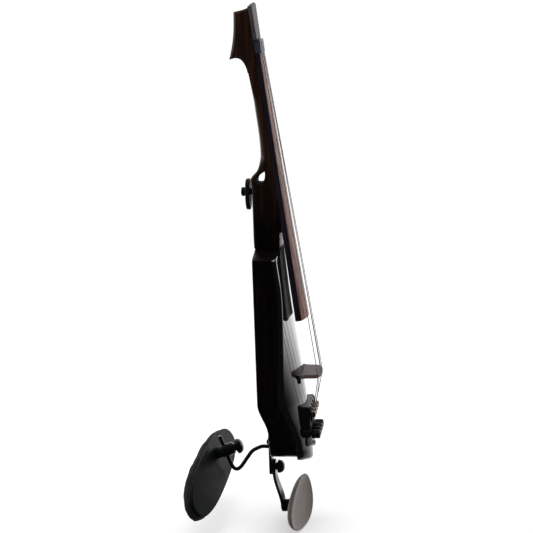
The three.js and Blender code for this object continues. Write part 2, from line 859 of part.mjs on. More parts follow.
// Height of the rim and of the crown from the tail to the shoulder
const rimShares = [
  [0, 1.42], [0.03, 1.415], [0.092, 1.41], [0.158, 1.29], [0.193, 1.19], [0.245, 1.085],
  [0.285, 0.985], [0.31, 0.9], [0.425, 0.915], [0.56, 0.965],
  [0.69, 1], [0.82, 0.99], [0.97, 0.85], [1, 0.88],
];
const crownShares = [
  [0, 1], [0.1, 0.99], [0.2, 0.945], [0.38, 0.855], [0.66, 0.685], [0.97, 0.54], [1, 0.53],
];
const heightShare = (z) => (z - tailZ) / topSpan;
const rimAt = (z) => rimX * smoothAt(rimShares, heightShare(z));
const crownAt = (z) => crownX * smoothAt(crownShares, heightShare(z));
const backAt = (z) => tailBackX * THREE.MathUtils.smoothstep(creaseZ - z, 0, creaseZ - tailBackRiseZ);

function halfWidthAt(z, lip) {
  if (z > shoulderZ) {
    return lerp(bodyHalfWidth, heelSeatWidth / 2, (z - shoulderZ) / (shoulderTopZ - shoulderZ));
  }
  if (z >= creaseZ) return bodyHalfWidth;
  if (z >= tailCornerZ) {
    const share = (creaseZ - z) / taperLength;
    return lerp(bodyHalfWidth, tailHalfWidth, share);
  }
  const depth = tailCornerZ - tailZ + lip;
  const share = Math.min((tailCornerZ - z) / depth, 0.992);
  return tailHalfWidth * Math.sqrt(1 - share * share);
}

function bodyHeights(lip) {
  const heights = [shoulderTopZ];
  const flatSteps = 9;
  const taperSteps = 9;
  const tailSteps = 6;
  for (let i = 0; i <= flatSteps; i += 1) heights.push(shoulderZ - (flatLength * i) / flatSteps);
  for (let i = 1; i <= taperSteps; i += 1) heights.push(creaseZ - (taperLength * i) / taperSteps);
  for (let i = 1; i <= tailSteps; i += 1) {
    const share = Math.sin((i / tailSteps) * 90 * deg);
    heights.push(tailCornerZ - (tailCornerZ - tailZ + lip) * share);
  }
  return heights;
}

// Cross section under a curved top: a floor, two side walls and the arch
function archedSection(z, options) {
  const { floorX, lower, lip, grow, edgeRadius, chamfer } = options;
  const half = halfWidthAt(z, lip) + grow;
  const rim = rimAt(z);
  const crown = crownAt(z);
  const tailStart = tailZ - lip + topTailRadius;
  const past = THREE.MathUtils.clamp((tailStart - z) / topTailRadius, 0, 1);
  const tailDrop = edgeRadius > 0 ? topTailRadius * (1 - Math.sqrt(1 - past * past)) : 0;
  const floor = floorX(z);
  const ring = [
    V(floor, -half + chamfer, z), V(floor, half - chamfer, z),
    V(floor + chamfer, half, z),
  ];
  for (let i = 0; i <= archPoints; i += 1) {
    const share = Math.cos((i / archPoints) * 180 * deg);
    const y = half * share;
    const arch = 1 - share * share;
    const inset = Math.max(Math.abs(y) - (half - edgeRadius), 0);
    const edgeDrop = edgeRadius - Math.sqrt(Math.max(edgeRadius * edgeRadius - inset * inset, 0));
    const x = rim + (crown - rim) * arch - lower - edgeDrop - tailDrop * 0.8;
    ring.push(V(Math.max(x, floor + chamfer * 1.5 + fitGap), y, z));
  }
  ring.push(V(floor + chamfer, -half, z));
  return ring;
}

function bodyLoft(options) {
  return loft(bodyHeights(options.lip).map((z) => archedSection(z, options)));
}

// Volume under the outer face of the top, raised by an offset
function topVolume(raise, grow = 0) {
  return bodyLoft({
    floorX: () => tailBackX, lower: -raise, lip: topLip, grow, edgeRadius: topEdgeRadius, chamfer: 0,
  });
}

const topFaceX = (y, z) => {
  const share = y / halfWidthAt(z, topLip);
  return rimAt(z) + (crownAt(z) - rimAt(z)) * (1 - share * share);
};

// Arched top: the outer volume less everything under its inner face
const tailScrewSeatX = topFaceX(0, tailScrewZ);
{
  const outer = topVolume(0);
  const inner = bodyLoft({
    floorX: () => -overrun, lower: topThickness, lip: topLip * 2, grow: overrun, edgeRadius: 0, chamfer: 0,
  });
  const tailLip = box(
    -overrun, rimX * 1.16, -bodyHalfWidth, bodyHalfWidth, tailZ - topLip * 3, tailZ + fitGap,
  );
  const leadHole = rodAlong('x', leadRadius + fitGap, 0, crownX + overrun);
  leadHole.translate(0, pickupLeadY(), bridgeTopZ);
  const screwHoles = blockScrewPlaces().map(([y, z]) => {
    const hole = rodAlong('x', blockScrewRadius * 0.6 + fitGap, 0, crownX + overrun);
    hole.translate(0, y, z);
    return hole;
  });
  const tailHole = rodAlong('x', tailScrewRadius * 0.5 + fitGap, 0, crownX + overrun);
  tailHole.translate(0, 0, tailScrewZ);
  const shaftBores = knobPlaces.map(knobShaftBore);
  const tools = [inner, tailLip, leadHole, tailHole, ...screwHoles, ...shaftBores];
  addPiece(electricViolin, 'body_top', cut(outer, ...tools), 'glossBlack');
}

function knobShaftBore(y) {
  const floorX = blockFrontX - knobShaftLength - fitGap;
  const bore = rodAlong('x', knobShaftRadius + fitGap, floorX, blockFrontX + overrun);
  bore.translate(0, y, knobZ);
  return bore;
}

function pickupLeadY() {
  return coverLowY + pocketMargin + pickupWidth / 4;
}

function blockScrewPlaces() {
  return [-1, 1].map((side) => [side * blockScrewY, blockScrewZ]);
}

// Control pocket and the pieces that line up with it
const pocketLowY = coverLowY + pocketMargin;
const pocketHighY = coverHighY - pocketMargin;
const pocketLowZ = coverLowZ + pocketMargin;
const pocketHighZ = coverHighZ - pocketMargin;
const coverScrewPlaces = [];
for (const y of [coverLowY + coverScrewInset, coverHighY - coverScrewInset]) {
  for (const z of [coverLowZ + coverScrewInset, coverHighZ - coverScrewInset]) coverScrewPlaces.push([y, z]);
}

function pocketSolid() {
  const radius = coverCornerRadius * 0.8;
  const shape = roundedRectangle(pocketLowY, pocketHighY, pocketLowZ, pocketHighZ, radius);
  return extrudeX(shape, -overrun, pocketDepth);
}

function coverSolid(grow, lowX, highX) {
  const radius = coverCornerRadius + grow;
  const [lowY, highY] = [coverLowY - grow, coverHighY + grow];
  const shape = roundedRectangle(lowY, highY, coverLowZ - grow, coverHighZ + grow, radius);
  return extrudeX(shape, lowX, highX);
}

// Solid core of the body
{
  const blank = bodyLoft({
    floorX: backAt, lower: topThickness + fitGap, lip: 0, grow: 0, edgeRadius: 0, chamfer: backEdgeChamfer,
  });
  const tools = [tenonSolid(fitGap, shoulderTopZ + overrun), pocketSolid()];
  tools.push(coverSolid(fitGap, -overrun, coverThickness + fitGap));
  for (const z of neckBoltPlaces) {
    const head = rodAlong('x', neckBoltHeadRadius + fitGap, -overrun, neckBoltHeadHeight + fitGap * 2);
    const shank = rodAlong('x', neckBoltRadius + fitGap, -overrun, tenonLowX + fitGap);
    head.translate(0, 0, z);
    shank.translate(0, 0, z);
    tools.push(head, shank);
  }
  for (const [y, z] of coverScrewPlaces) {
    const hole = rodAlong('x', coverScrewShank + fitGap, 0, coverScrewLength + fitGap * 2);
    hole.translate(0, y, z);
    tools.push(hole);
  }
  for (const z of [volumeZ, toneZ]) {
    const hole = rodAlong('y', potShaftRadius + fitGap, pocketHighY - overrun, bodyHalfWidth + overrun);
    hole.translate(controlX, 0, z);
    tools.push(hole);
  }
  const jackHole = rodAlong('y', jackBarrelRadius + fitGap, pocketHighY - overrun,
    bodyHalfWidth + overrun, roundSegments);
  jackHole.translate(controlX, 0, jackZ);
  tools.push(jackHole);
  const leadHole = rodAlong('x', leadRadius + fitGap, pocketDepth - overrun, crownX);
  leadHole.translate(0, pickupLeadY(), bridgeTopZ);
  tools.push(leadHole);
  for (const [y, z] of blockScrewPlaces()) {
    const hole = rodAlong('x', blockScrewRadius * 0.6 + fitGap, blockFrontX / 2 - fitGap, crownX);
    hole.translate(0, y, z);
    tools.push(hole);
  }
  const tailHole = rodAlong('x', tailScrewRadius * 0.5 + fitGap, blockFrontX * 0.6, crownX);
  tailHole.translate(0, 0, tailScrewZ);
  tools.push(tailHole);
  const socketHole = rodAlong('x', socketRadius + fitGap, 0,
    tailBackX + socketLength - strapThickness, roundSegments);
  socketHole.translate(0, 0, rodZ);
  tools.push(socketHole);
  for (const [y, z] of bracketScrewPlaces()) {
    const hole = rodAlong('x', bracketScrewRadius * 0.55 + fitGap, 0, tailBackX + socketLength / 2 + fitGap);
    hole.translate(0, y, z);
    tools.push(hole);
  }
  const lockHole = rodAlong('z', rodRadius * 0.75 + fitGap, tailZ - overrun, rodZ);
  lockHole.translate(tailBackX + socketLength * 0.45, 0, 0);
  tools.push(lockHole);
  addPiece(electricViolin, 'body_core', cut(blank, ...tools), 'stainedWood');
}

function bracketScrewPlaces() {
  const z = (bracketTopZ + rodZ) / 2;
  return [-1, 1].map((side) => [side * strapWidth * 0.3, z + rodRadius]);
}

// Rear cover and its four screws
{
  const plate = coverSolid(0, 0, coverThickness);
  const holes = coverScrewPlaces.map(([y, z]) => {
    const headRadius = coverScrewRadius + fitGap * 2;
    const hole = countersunk(headRadius, coverScrewShank + fitGap, 0, coverThickness + overrun, -overrun);
    hole.translate(0, y, z);
    return hole;
  });
  addPiece(electricViolin, 'rear_cover', cut(plate, ...holes), 'blackPlastic');
  for (const [i, [y, z]] of coverScrewPlaces.entries()) {
    const screw = countersunk(coverScrewRadius, coverScrewShank, 0, coverScrewLength, 0);
    screw.translate(fitGap / 2, y, z);
    addPiece(electricViolin, `cover_screw_${i + 1}`, screw, 'blackMetal');
  }
}

function countersunk(headRadius, shankRadius, headX, endX, clearX) {
  const coneX = headX + headRadius - shankRadius;
  const screw = turned([
    [0, clearX], [headRadius, clearX], [headRadius, headX],
    [shankRadius, coneX], [shankRadius, endX], [0, endX],
  ], smallSegments);
  screw.rotateY(90 * deg);
  return screw;
}

// Volume and tone controls, with dials on the treble side
for (const [name, z] of [['volume', volumeZ], ['tone', toneZ]]) {
  const bushTop = bodyHalfWidth - fitGap;
  const shaftEnd = bushTop + potShaftLength / 2;
  const can = turned([
    [0, pocketHighY - potHeight], [potRadius, pocketHighY - potHeight], [potRadius, pocketHighY - fitGap],
    [potShaftRadius, pocketHighY - fitGap], [potShaftRadius, bushTop],
    [potShaftRadius / 2, bushTop], [potShaftRadius / 2, shaftEnd], [0, shaftEnd],
  ], smallSegments);
  can.rotateX(-90 * deg);
  can.translate(controlX, 0, z);
  addPiece(electricViolin, `${name}_pot`, can, 'steel');

  const dialLow = bodyHalfWidth + fitGap;
  const grip = knurledGrip(dialRadius, dialLow, dialLow + dialHeight);
  const shaftBore = rodAlong('z', potShaftRadius / 2 + fitGap, 0, shaftEnd + fitGap);
  const dial = cut(grip, shaftBore);
  dial.rotateX(-90 * deg);
  dial.translate(controlX, 0, z);
  addPiece(electricViolin, `${name}_dial`, dial, 'blackPlastic');
}

// Output socket: a barrel with a round bore, open on the treble side
{
  const mouth = bodyHalfWidth + fitGap + jackFlangeHeight;
  const end = mouth - jackLength;
  const wall = overrun / 2;
  const socket = turned([
    [0, end], [jackBarrelRadius, end], [jackBarrelRadius, bodyHalfWidth + fitGap],
    [jackFlangeRadius, bodyHalfWidth + fitGap], [jackFlangeRadius, mouth],
    [jackBoreRadius, mouth], [jackBoreRadius, end + wall], [0, end + wall],
  ], roundSegments);
  socket.rotateX(-90 * deg);
  socket.translate(controlX, 0, jackZ);
  addPiece(electricViolin, 'output_socket', socket, 'blackMetal');
}

// Preamplifier card with its parts, and the leads
const cardX = pocketDepth - boardCardThickness - fitGap;
{
  const middleY = pocketLowY + fitGap + boardCardWidth / 2;
  const lowZ = boardCardZ - boardCardHeight / 2;
  const card = box(cardX, cardX + boardCardThickness, middleY - boardCardWidth / 2,
    middleY + boardCardWidth / 2, lowZ, lowZ + boardCardHeight);
  const chips = [0.2, 0.5, 0.8].map((share, i) => {
    const z = lowZ + boardCardHeight * share;
    const half = boardCardWidth * (0.14 + 0.06 * i);
    const chipX = cardX - boardCardThickness * (1 + i);
    return box(chipX, cardX + fitGap, middleY - half, middleY + half, z - half / 2, z + half / 2);
  });
  addPiece(electricViolin, 'preamp_card', join(card, ...chips), 'board');

  const pickupLeadEnd = V(cardX - fitGap, pickupLeadY(), lowZ + overrun);
  const pickupLeadTopX = topFaceX(pickupLeadY(), bridgeTopZ) - fitGap;
  const pickupRunX = cardX - leadRadius * 4;
  const pickupStops = [
    V(pickupLeadTopX, pickupLeadY(), bridgeTopZ), V(pickupRunX, pickupLeadY(), bridgeTopZ),
    V(pickupRunX, pickupLeadY(), pickupLeadEnd.z), pickupLeadEnd,
  ];
  const pickupCorners = [leadRadius * 3, leadRadius * 2];
  addPiece(electricViolin, 'pickup_lead', bentRod(pickupStops, pickupCorners, leadRadius, 8), 'lead');

  const jackEndY = bodyHalfWidth + fitGap + jackFlangeHeight - jackLength;
  const socketRunY = jackEndY - leadRadius * 3.5;
  const cardEdge = V(cardX + boardCardThickness / 2, socketRunY, lowZ - fitGap);
  const socketStops = [
    V(controlX, jackEndY - fitGap, jackZ), V(controlX, socketRunY, jackZ),
    V(cardEdge.x, socketRunY, jackZ + jackLength / 3), cardEdge,
  ];
  const socketCorners = [leadRadius * 2.4, leadRadius * 4];
  addPiece(electricViolin, 'socket_lead', bentRod(socketStops, socketCorners, leadRadius, 8), 'lead');
}

// Bridge: a plate whose foot follows the arched top, with rounded corners
function bridgeOutline() {
  const top = bridgeTopX - Math.min(...Object.values(stringRadii)) + bridgeNotchDepth;
  const halfTop = bridgeTopWidth / 2;
  const halfFoot = bridgeFootWidth / 2;
  const lowX = bridgeTopX - bridgeHeight;
  const shape = new THREE.Shape();
  shape.moveTo(-halfFoot, lowX);
  shape.lineTo(halfFoot, lowX);
  shape.lineTo(halfFoot, lowX + bridgeFootHeight * 1.5);
  const cornerX = top - bridgeCornerDrop;
  const straightX = cornerX - bridgeBassRise;
  const roundedY = halfTop - bridgeCornerRadius;
  shape.quadraticCurveTo(halfTop, lowX + bridgeFootHeight * 2.4, halfTop, straightX);
  shape.quadraticCurveTo(halfTop, cornerX + bridgeCornerRadius * 0.7, roundedY, crownLine(top, roundedY));
  for (let i = 1; i <= archPoints; i += 1) {
    const y = lerp(roundedY, -roundedY, i / archPoints);
    shape.lineTo(y, crownLine(top, y));
  }
  shape.quadraticCurveTo(-halfTop, cornerX + bridgeCornerRadius * 0.9, -halfTop, cornerX);
  shape.quadraticCurveTo(-halfTop, lowX + bridgeFootHeight * 2.4, -halfFoot, lowX + bridgeFootHeight * 1.5);
  return shape;
}

function crownLine(top, y) {
  return top - archDrop(y) - (y / stringSpreadBridge) * bridgeBassRise;
}

function bridgeBlank() {
  const geometry = new THREE.ExtrudeGeometry(bridgeOutline(), {
    depth: bridgeThickness, bevelEnabled: false, curveSegments: 8,
  });
  geometry.applyMatrix4(new THREE.Matrix4().makeBasis(V(0, 1, 0), V(1, 0, 0), V(0, 0, -1)));
  geometry.translate(0, 0, bridgeTopZ + bridgeThickness / 2);
  return mergedCopy(geometry);
}

{
  const seat = pickupThickness + fitGap * 2;
  const notches = bridgePoints.map((point, i) => {
    const radius = stringRadii[stringNames[i]] + fitGap * 1.2;
    return tubeThrough([nutPoints[i], point, clampPoints[i]], radius, 8);
  });
  addPiece(electricViolin, 'bridge', cut(bridgeBlank(), topVolume(seat), ...notches), 'bridgeWood');

  for (const [name, side] of [['bass', -1], ['treble', 1]]) {
    const outerY = (side * bridgeFootWidth) / 2;
    const innerY = outerY - side * pickupWidth;
    const lowY = Math.min(outerY, innerY);
    const halfDepth = bridgeThickness / 2;
    const slab = box(
      rimX, bridgeTopX, lowY, lowY + pickupWidth, bridgeTopZ - halfDepth, bridgeTopZ + halfDepth,
    );
    const layer = cut(shared(slab, topVolume(seat - fitGap)), topVolume(fitGap));
    addPiece(electricViolin, `pickup_${name}`, layer, 'blackPlastic');
  }

  const plugTop = bridgeTopZ - bridgeThickness / 2 - fitGap;
  const plugX = topFaceX(plugY, bridgeTopZ) + fitGap + plugRadius;
  const plug = turned([
    [0, plugTop - plugLength], [plugRadius * 0.6, plugTop - plugLength],
    [plugRadius, plugTop - plugLength + plugRadius], [plugRadius, plugTop], [0, plugTop],
  ], smallSegments);
  plug.translate(plugX, -plugY, 0);
  addPiece(electricViolin, 'pickup_plug', cut(plug, topVolume(fitGap)), 'blackPlastic');
}

// Tuner block on the arched top
const blockBottomZ = blockTopZ - blockLength;
const tongueBottomZ = blockBottomZ - tongueLength;
const clampStopZ = clampTopZ - clampLength - clampToeLength - clampTravel;
{
  const half = blockWidth / 2;
  const lowX = rimX;
  const flange = half + blockFlangeProud;
  const flangeTopZ = blockBottomZ + blockFlangeLength;
  const outline = shapeOf([
    [-half + blockChamfer, blockTopZ], [-half, blockTopZ - blockChamfer],
    [-half, flangeTopZ + blockFlangeProud], [-flange, flangeTopZ],
    [-flange, blockBottomZ + blockChamfer], [-half, blockBottomZ],
    [half, blockBottomZ], [flange, blockBottomZ + blockChamfer], [flange, flangeTopZ],
    [half, flangeTopZ + blockFlangeProud], [half, blockTopZ - blockChamfer], [half - blockChamfer, blockTopZ],
  ]);
  const blank = extrudeX(outline, lowX, blockFrontX - blockChamfer, {
    bevelEnabled: true, bevelThickness: blockChamfer, bevelSize: blockChamfer,
    bevelOffset: -blockChamfer, bevelSegments: 1,
  });
  const tools = [topVolume(fitGap)];
  for (const y of knobPlaces) {
    const slotHalf = clampFootWidth / 2 + fitGap;
    const slotFloor = blockFrontX - clampFootDepth - fitGap;
    const [slotLowZ, slotHighZ] = [clampStopZ - fitGap, blockTopZ + overrun];
    tools.push(knobShaftBore(y));
    tools.push(box(slotFloor, blockFrontX + overrun, y - slotHalf, y + slotHalf, slotLowZ, slotHighZ));
  }
  for (const [y, z] of blockScrewPlaces()) {
    const hole = rodAlong('x', blockScrewRadius * 0.6 + fitGap, lowX, blockFrontX + overrun);
    hole.translate(0, y, z);
    tools.push(hole);
  }
  addPiece(electricViolin, 'tuner_block', cut(join(blank, tongueSkirt()), ...tools), 'blackMetal');
}

// Thin skirt below the block, laid on the arch and open round the tail screw
function tongueSkirt() {
  const half = tongueWidth / 2;
  const bend = tongueLength / 2;
  const outline = new THREE.Shape();
  outline.moveTo(-half, blockBottomZ + overrun);
  outline.lineTo(-half, tongueBottomZ + bend * 1.3);
  outline.quadraticCurveTo(-half, tongueBottomZ, -half + bend, tongueBottomZ);
  outline.lineTo(half - bend, tongueBottomZ);
  outline.quadraticCurveTo(half, tongueBottomZ, half, tongueBottomZ + bend * 1.3);
  outline.lineTo(half, blockBottomZ + overrun);
  const slab = extrudeX(outline, rimX, bridgeTopX, { curveSegments: 6 });
  const notchHalf = tongueNotchWidth / 2;
  const notchTop = blockBottomZ + overrun * 2;
  const notchLow = tongueBottomZ - overrun;
  const notch = box(rimX - overrun, bridgeTopX + overrun, -notchHalf, notchHalf, notchLow, notchTop);
  const skin = shared(slab, topVolume(tongueThickness + fitGap));
  return cut(skin, topVolume(fitGap / 2), notch);
}

// Knurled tuner knobs, string clamps and the screws of the block
for (const [i, y] of knobPlaces.entries()) {
  const grip = knurledGrip(knobRadius, fitGap, fitGap + knobHeight);
  const shaft = rodAlong('z', knobShaftRadius, -knobShaftLength, fitGap + knobRidgeDepth * 2);
  const knob = join(grip, shaft);
  knob.rotateY(90 * deg);
  knob.translate(blockFrontX, y, knobZ);
  addPiece(electricViolin, `tuner_knob_${i + 1}`, knob, 'blackMetal');

  const seat = blockFrontX + fitGap;
  const lowZ = clampTopZ - clampLength;
  const half = clampWidth / 2;
  const block = roundedRectangle(-half, half, lowZ, clampTopZ, half / 2);
  const body = extrudeX(block, seat, seat + clampHeight, { curveSegments: 3 });
  const toeHalf = half * 0.7;
  const toe = box(seat, seat + clampToeHeight, -toeHalf, toeHalf, lowZ - clampToeLength, lowZ + overrun);
  const foot = box(blockFrontX - clampFootDepth, seat + clampToeHeight / 2, -clampFootWidth / 2,
    clampFootWidth / 2, lowZ - clampToeLength, blockTopZ - fitGap);
  const slotHalf = clampSlotWidth / 2;
  const slot = box(clampStringX - slotHalf, seat + clampHeight + overrun, -slotHalf, slotHalf,
    lowZ - overrun, clampTopZ + overrun);
  const carriage = cut(join(body, toe, foot), slot);
  carriage.translate(0, y, 0);
  addPiece(electricViolin, `string_clamp_${i + 1}`, carriage, 'brass');
}

for (const [i, [y, z]] of blockScrewPlaces().entries()) {
  const socketRadiusShare = 0.5;
  const start = blockFrontX + fitGap;
  const screw = turned([
    [0, blockFrontX / 2], [blockScrewRadius * 0.6, blockFrontX / 2], [blockScrewRadius * 0.6, start],
    [blockScrewRadius, start], [blockScrewRadius, start + blockScrewHead],
    [blockScrewRadius * socketRadiusShare, start + blockScrewHead],
    [blockScrewRadius * socketRadiusShare, start + blockScrewHead / 2], [0, start + blockScrewHead / 2],
  ], smallSegments);
  screw.rotateY(90 * deg);
  screw.translate(0, y, z);
  addPiece(electricViolin, `block_screw_${i + 1}`, screw, 'blackMetal');
}

{
  const seat = tailScrewSeatX + fitGap * 2;
  const tipX = blockFrontX * 0.62;
  const profile = [[0, tipX], [tailScrewRadius / 2, tipX], [tailScrewRadius / 2, seat]];
  const domeSteps = 5;
  for (let i = 0; i <= domeSteps; i += 1) {
    const angle = (i / domeSteps) * 90 * deg;
    profile.push([tailScrewRadius * Math.cos(angle), seat + tailScrewHead * Math.sin(angle)]);
  }
  profile[profile.length - 1][0] = 0;
  const screw = turned(profile, smallSegments);
  screw.rotateY(90 * deg);
  screw.translate(0, 0, tailScrewZ);
  addPiece(electricViolin, 'tail_screw', screw, 'steel');
}

// Thumb stop: an oval plate on a stud, held by a knurled knob
const heelBackX = neckBackX(thumbZ);
{
  const plateFrontX = heelBackX - thumbStandoff;
  const outline = oval(thumbWidth, thumbLength, 2.3, roundSegments + 4);
  const shape = shapeOf(outline);
  const slotHalf = thumbStudRadius + fitGap;
  const slot = new THREE.Path();
  slot.absarc(0, thumbTravel, slotHalf, 0, 180 * deg, false);
  slot.absarc(0, -thumbTravel, slotHalf, 180 * deg, 360 * deg, false);
  slot.closePath();
  shape.holes.push(slot);
  const edge = thumbThickness / 4;
  const bevel = { bevelThickness: edge, bevelSize: edge, bevelOffset: -edge, bevelSegments: 2 };
  const plate = extrudeX(shape, plateFrontX - thumbThickness + edge, plateFrontX - edge, {
    bevelEnabled: true, ...bevel, curveSegments: 5,
  });
  plate.translate(0, 0, thumbZ - thumbPlateDrop);
  addPiece(electricViolin, 'thumb_plate', plate, 'blackPlastic');

  const washerHigh = heelBackX - fitGap;
  const washerLow = plateFrontX + fitGap;
  const washerBore = rodAlong('x', thumbStudRadius + fitGap, washerLow - overrun, washerHigh + overrun);
  const washer = cut(rodAlong('x', slotHalf * 1.5, washerLow, washerHigh, roundSegments), washerBore);
  washer.translate(0, 0, thumbZ);
  addPiece(electricViolin, 'thumb_washer', washer, 'blackPlastic');

  const knobFrontX = plateFrontX - thumbThickness - fitGap;
  const hubX = knobFrontX - thumbHubHeight;
  const knobBackX = hubX - thumbKnobHeight;
  const stud = rodAlong('x', thumbStudRadius, knobBackX + thumbKnobHeight / 2, thumbStudInset - fitGap);
  stud.translate(0, 0, thumbZ);
  addPiece(electricViolin, 'thumb_stud', stud, 'steel');

  const grip = knurledGrip(thumbKnobRadius, knobBackX, hubX);
  grip.rotateY(90 * deg);
  const hub = rodAlong('x', thumbKnobRadius * 0.62, hubX - overrun / 2, knobFrontX, roundSegments);
  const boreBackX = knobBackX + thumbKnobHeight / 2 - fitGap;
  const bore = rodAlong('x', thumbStudRadius + fitGap, boreBackX, knobFrontX + overrun);
  const knob = cut(join(grip, hub), bore);
  knob.translate(0, 0, thumbZ);
  addPiece(electricViolin, 'thumb_knob', knob, 'blackMetal');
}

// Shoulder rest: the bent rod in its socket
const strapBackX = tailBackX - fitGap - strapThickness;
const rodEntryX = strapBackX - fitGap;
const gripAxis = V(Math.cos(clampTiltDeg * deg), 0, Math.sin(clampTiltDeg * deg));
const rodUp = V(-gripAxis.z, 0, gripAxis.x);
const gripPoint = V(tailBackX - rodReach, 0, rodZ - rodSag * 1.09);
{
  // The rod leaves its socket, sinks a little, dives and comes back up
  const leave = V(tailBackX - rodReach * 0.23, 0, rodZ);
  const brink = V(tailBackX - rodReach * 0.43, 0, rodZ - rodSag);
  const bottom = gripPoint.clone().addScaledVector(rodUp, -rodRun);
  const tip = gripPoint.clone().addScaledVector(rodUp, rodTipLength);
  const start = V(tailBackX + rodInsert, 0, rodZ);
  const corners = [leave, brink, bottom];
  const cornerLengths = [0.08, 0.14, 0.5].map((share) => rodRun * share);
  const rod = bentRod([start, ...corners, tip], cornerLengths, rodRadius, smallSegments);
  addPiece(electricViolin, 'shoulder_rod', rod, 'blackMetal');

  const end = rodEntryX + socketLength;
  const bush = turned([
    [rodRadius + fitGap, rodEntryX], [socketRadius, rodEntryX], [socketRadius, end],
    [rodRadius + fitGap, end], [rodRadius + fitGap, rodEntryX],
  ], roundSegments);
  bush.rotateY(90 * deg);
  bush.translate(0, 0, rodZ);
  addPiece(electricViolin, 'rod_socket', bush, 'steel');

  const screwTop = rodZ - socketRadius - fitGap;
  const screw = rodAlong('z', rodRadius * 0.75, tailZ + fitGap * 4, screwTop);
  screw.translate(tailBackX + socketLength * 0.45, 0, 0);
  addPiece(electricViolin, 'rod_lock_screw', screw, 'blackMetal');
}

// Grip on the rod, drawn in its own frame with local Z along the grip's axis
const gripFrame = new THREE.Group();
gripFrame.position.copy(gripPoint);
gripFrame.rotation.y = (90 - clampTiltDeg) * deg;
electricViolin.add(gripFrame);

function domedKnob(radius, neckRadius, neck, dome, start) {
  const rim = start + neck;
  const profile = [[0, start], [neckRadius, start], [neckRadius, rim], [radius * 0.93, rim]];
  const steps = 6;
  for (let i = 1; i <= steps; i += 1) {
    const angle = ((i - 0.6) / (steps - 0.6)) * 90 * deg;
    profile.push([radius * Math.cos(angle) ** 0.75, start + neck + dome * (0.12 + 0.88 * Math.sin(angle))]);
  }
  profile[profile.length - 1][0] = 0;
  return turned(profile, roundSegments);
}

{
  const barrel = turned([
    [0, -gripBack], [gripRadius * 0.9, -gripBack], [gripRadius, -gripBack + overrun / 3],
    [gripRadius, gripFront - overrun / 2], [gripRadius * 0.8, gripFront], [0, gripFront],
  ], roundSegments);
  const rodHole = rodAlong('x', rodRadius + fitGap, -gripRadius * 2, gripRadius * 2);
  const screwHole = rodAlong('z', rodRadius + fitGap, rodRadius + fitGap, gripFront + overrun);
  addPiece(gripFrame, 'rod_grip', cut(barrel, rodHole, screwHole), 'blackMetal');

  const head = domedKnob(gripKnobRadius, gripKnobNeckRadius, gripKnobNeck, gripKnobDome, gripFront + fitGap);
  const screw = rodAlong('z', rodRadius, rodRadius * 2 + fitGap, gripFront + overrun);
  addPiece(gripFrame, 'grip_knob', join(head, screw), 'blackMetal');
}

// Shoulder plate and its soft pad, in the pad's own frame
const padAxes = tiltedAxes(padTiltDeg, padYawDeg, padTurnDeg);
const padFrame = new THREE.Group();
padFrame.position.set(padX, padY, padZ);
padFrame.quaternion.setFromRotationMatrix(padAxes);
electricViolin.add(padFrame);

function padBend(u, v, height) {
  const along = u / (padLength / 2);
  return V(u, v + padBow * (along * along - 0.4), height - padSag * (along * along - 0.3));
}

const padPoints = 36;
const padPower = 2.4;
const padOutline = eggOf(oval(padLength, padWidth, padPower, padPoints), padLength, padEggShare);
const plateLength = padLength - plateInset * 2;
const plateOval = oval(plateLength, padWidth - plateInset * 2, padPower, padPoints);
const plateOutline = eggOf(plateOval, plateLength, padEggShare);
const padFront = padThickness / 2;
{
  // Rows of scale and height from the crowned outer face to the plate side
  const layers = [
    [0.3, -padFront - padCrown], [0.62, -padFront - padCrown * 0.72], [0.86, -padFront - padCrown * 0.1],
    [0.955, -padFront + padThickness * 0.14], [1, -padFront + padThickness * 0.38],
    [0.985, padFront - padThickness * 0.2], [0.96, padFront], [0.6, padFront], [0.3, padFront],
  ];
  addPiece(padFrame, 'shoulder_pad', stacked(padOutline, layers, padBend), 'foam');

  const low = padFront + fitGap;
  const high = low + plateThickness;
  const plate = stacked(plateOutline, [
    [0.3, low], [0.62, low], [0.985, low], [1, low + plateThickness * 0.4],
    [0.985, high], [0.62, high], [0.3, high],
  ], padBend);
  const under = stacked(plateOutline, [
    [0.3, low - padThickness * 4], [1.2, low - padThickness * 4], [1.2, low], [0.62, low], [0.3, low],
  ], padBend);
  padFrame.updateMatrix();
  gripFrame.updateMatrix();
  const toPad = padFrame.matrix.clone().invert().multiply(gripFrame.matrix);
  const boss = turned([
    [0, -gripBack * 6], [bossRadius * 1.3, -gripBack * 6], [bossRadius, -gripBack * 1.8],
    [bossRadius, -gripBack - fitGap], [0, -gripBack - fitGap],
  ], roundSegments);
  boss.applyMatrix4(toPad);
  addPiece(padFrame, 'shoulder_plate', join(plate, cut(boss, under)), 'blackPlastic');
}

// Chin rest: bracket on the flat of the tail
function strapOutline(lowZ, highZ, width) {
  return roundedRectangle(-width / 2, width / 2, lowZ, highZ, width * 0.42);
}

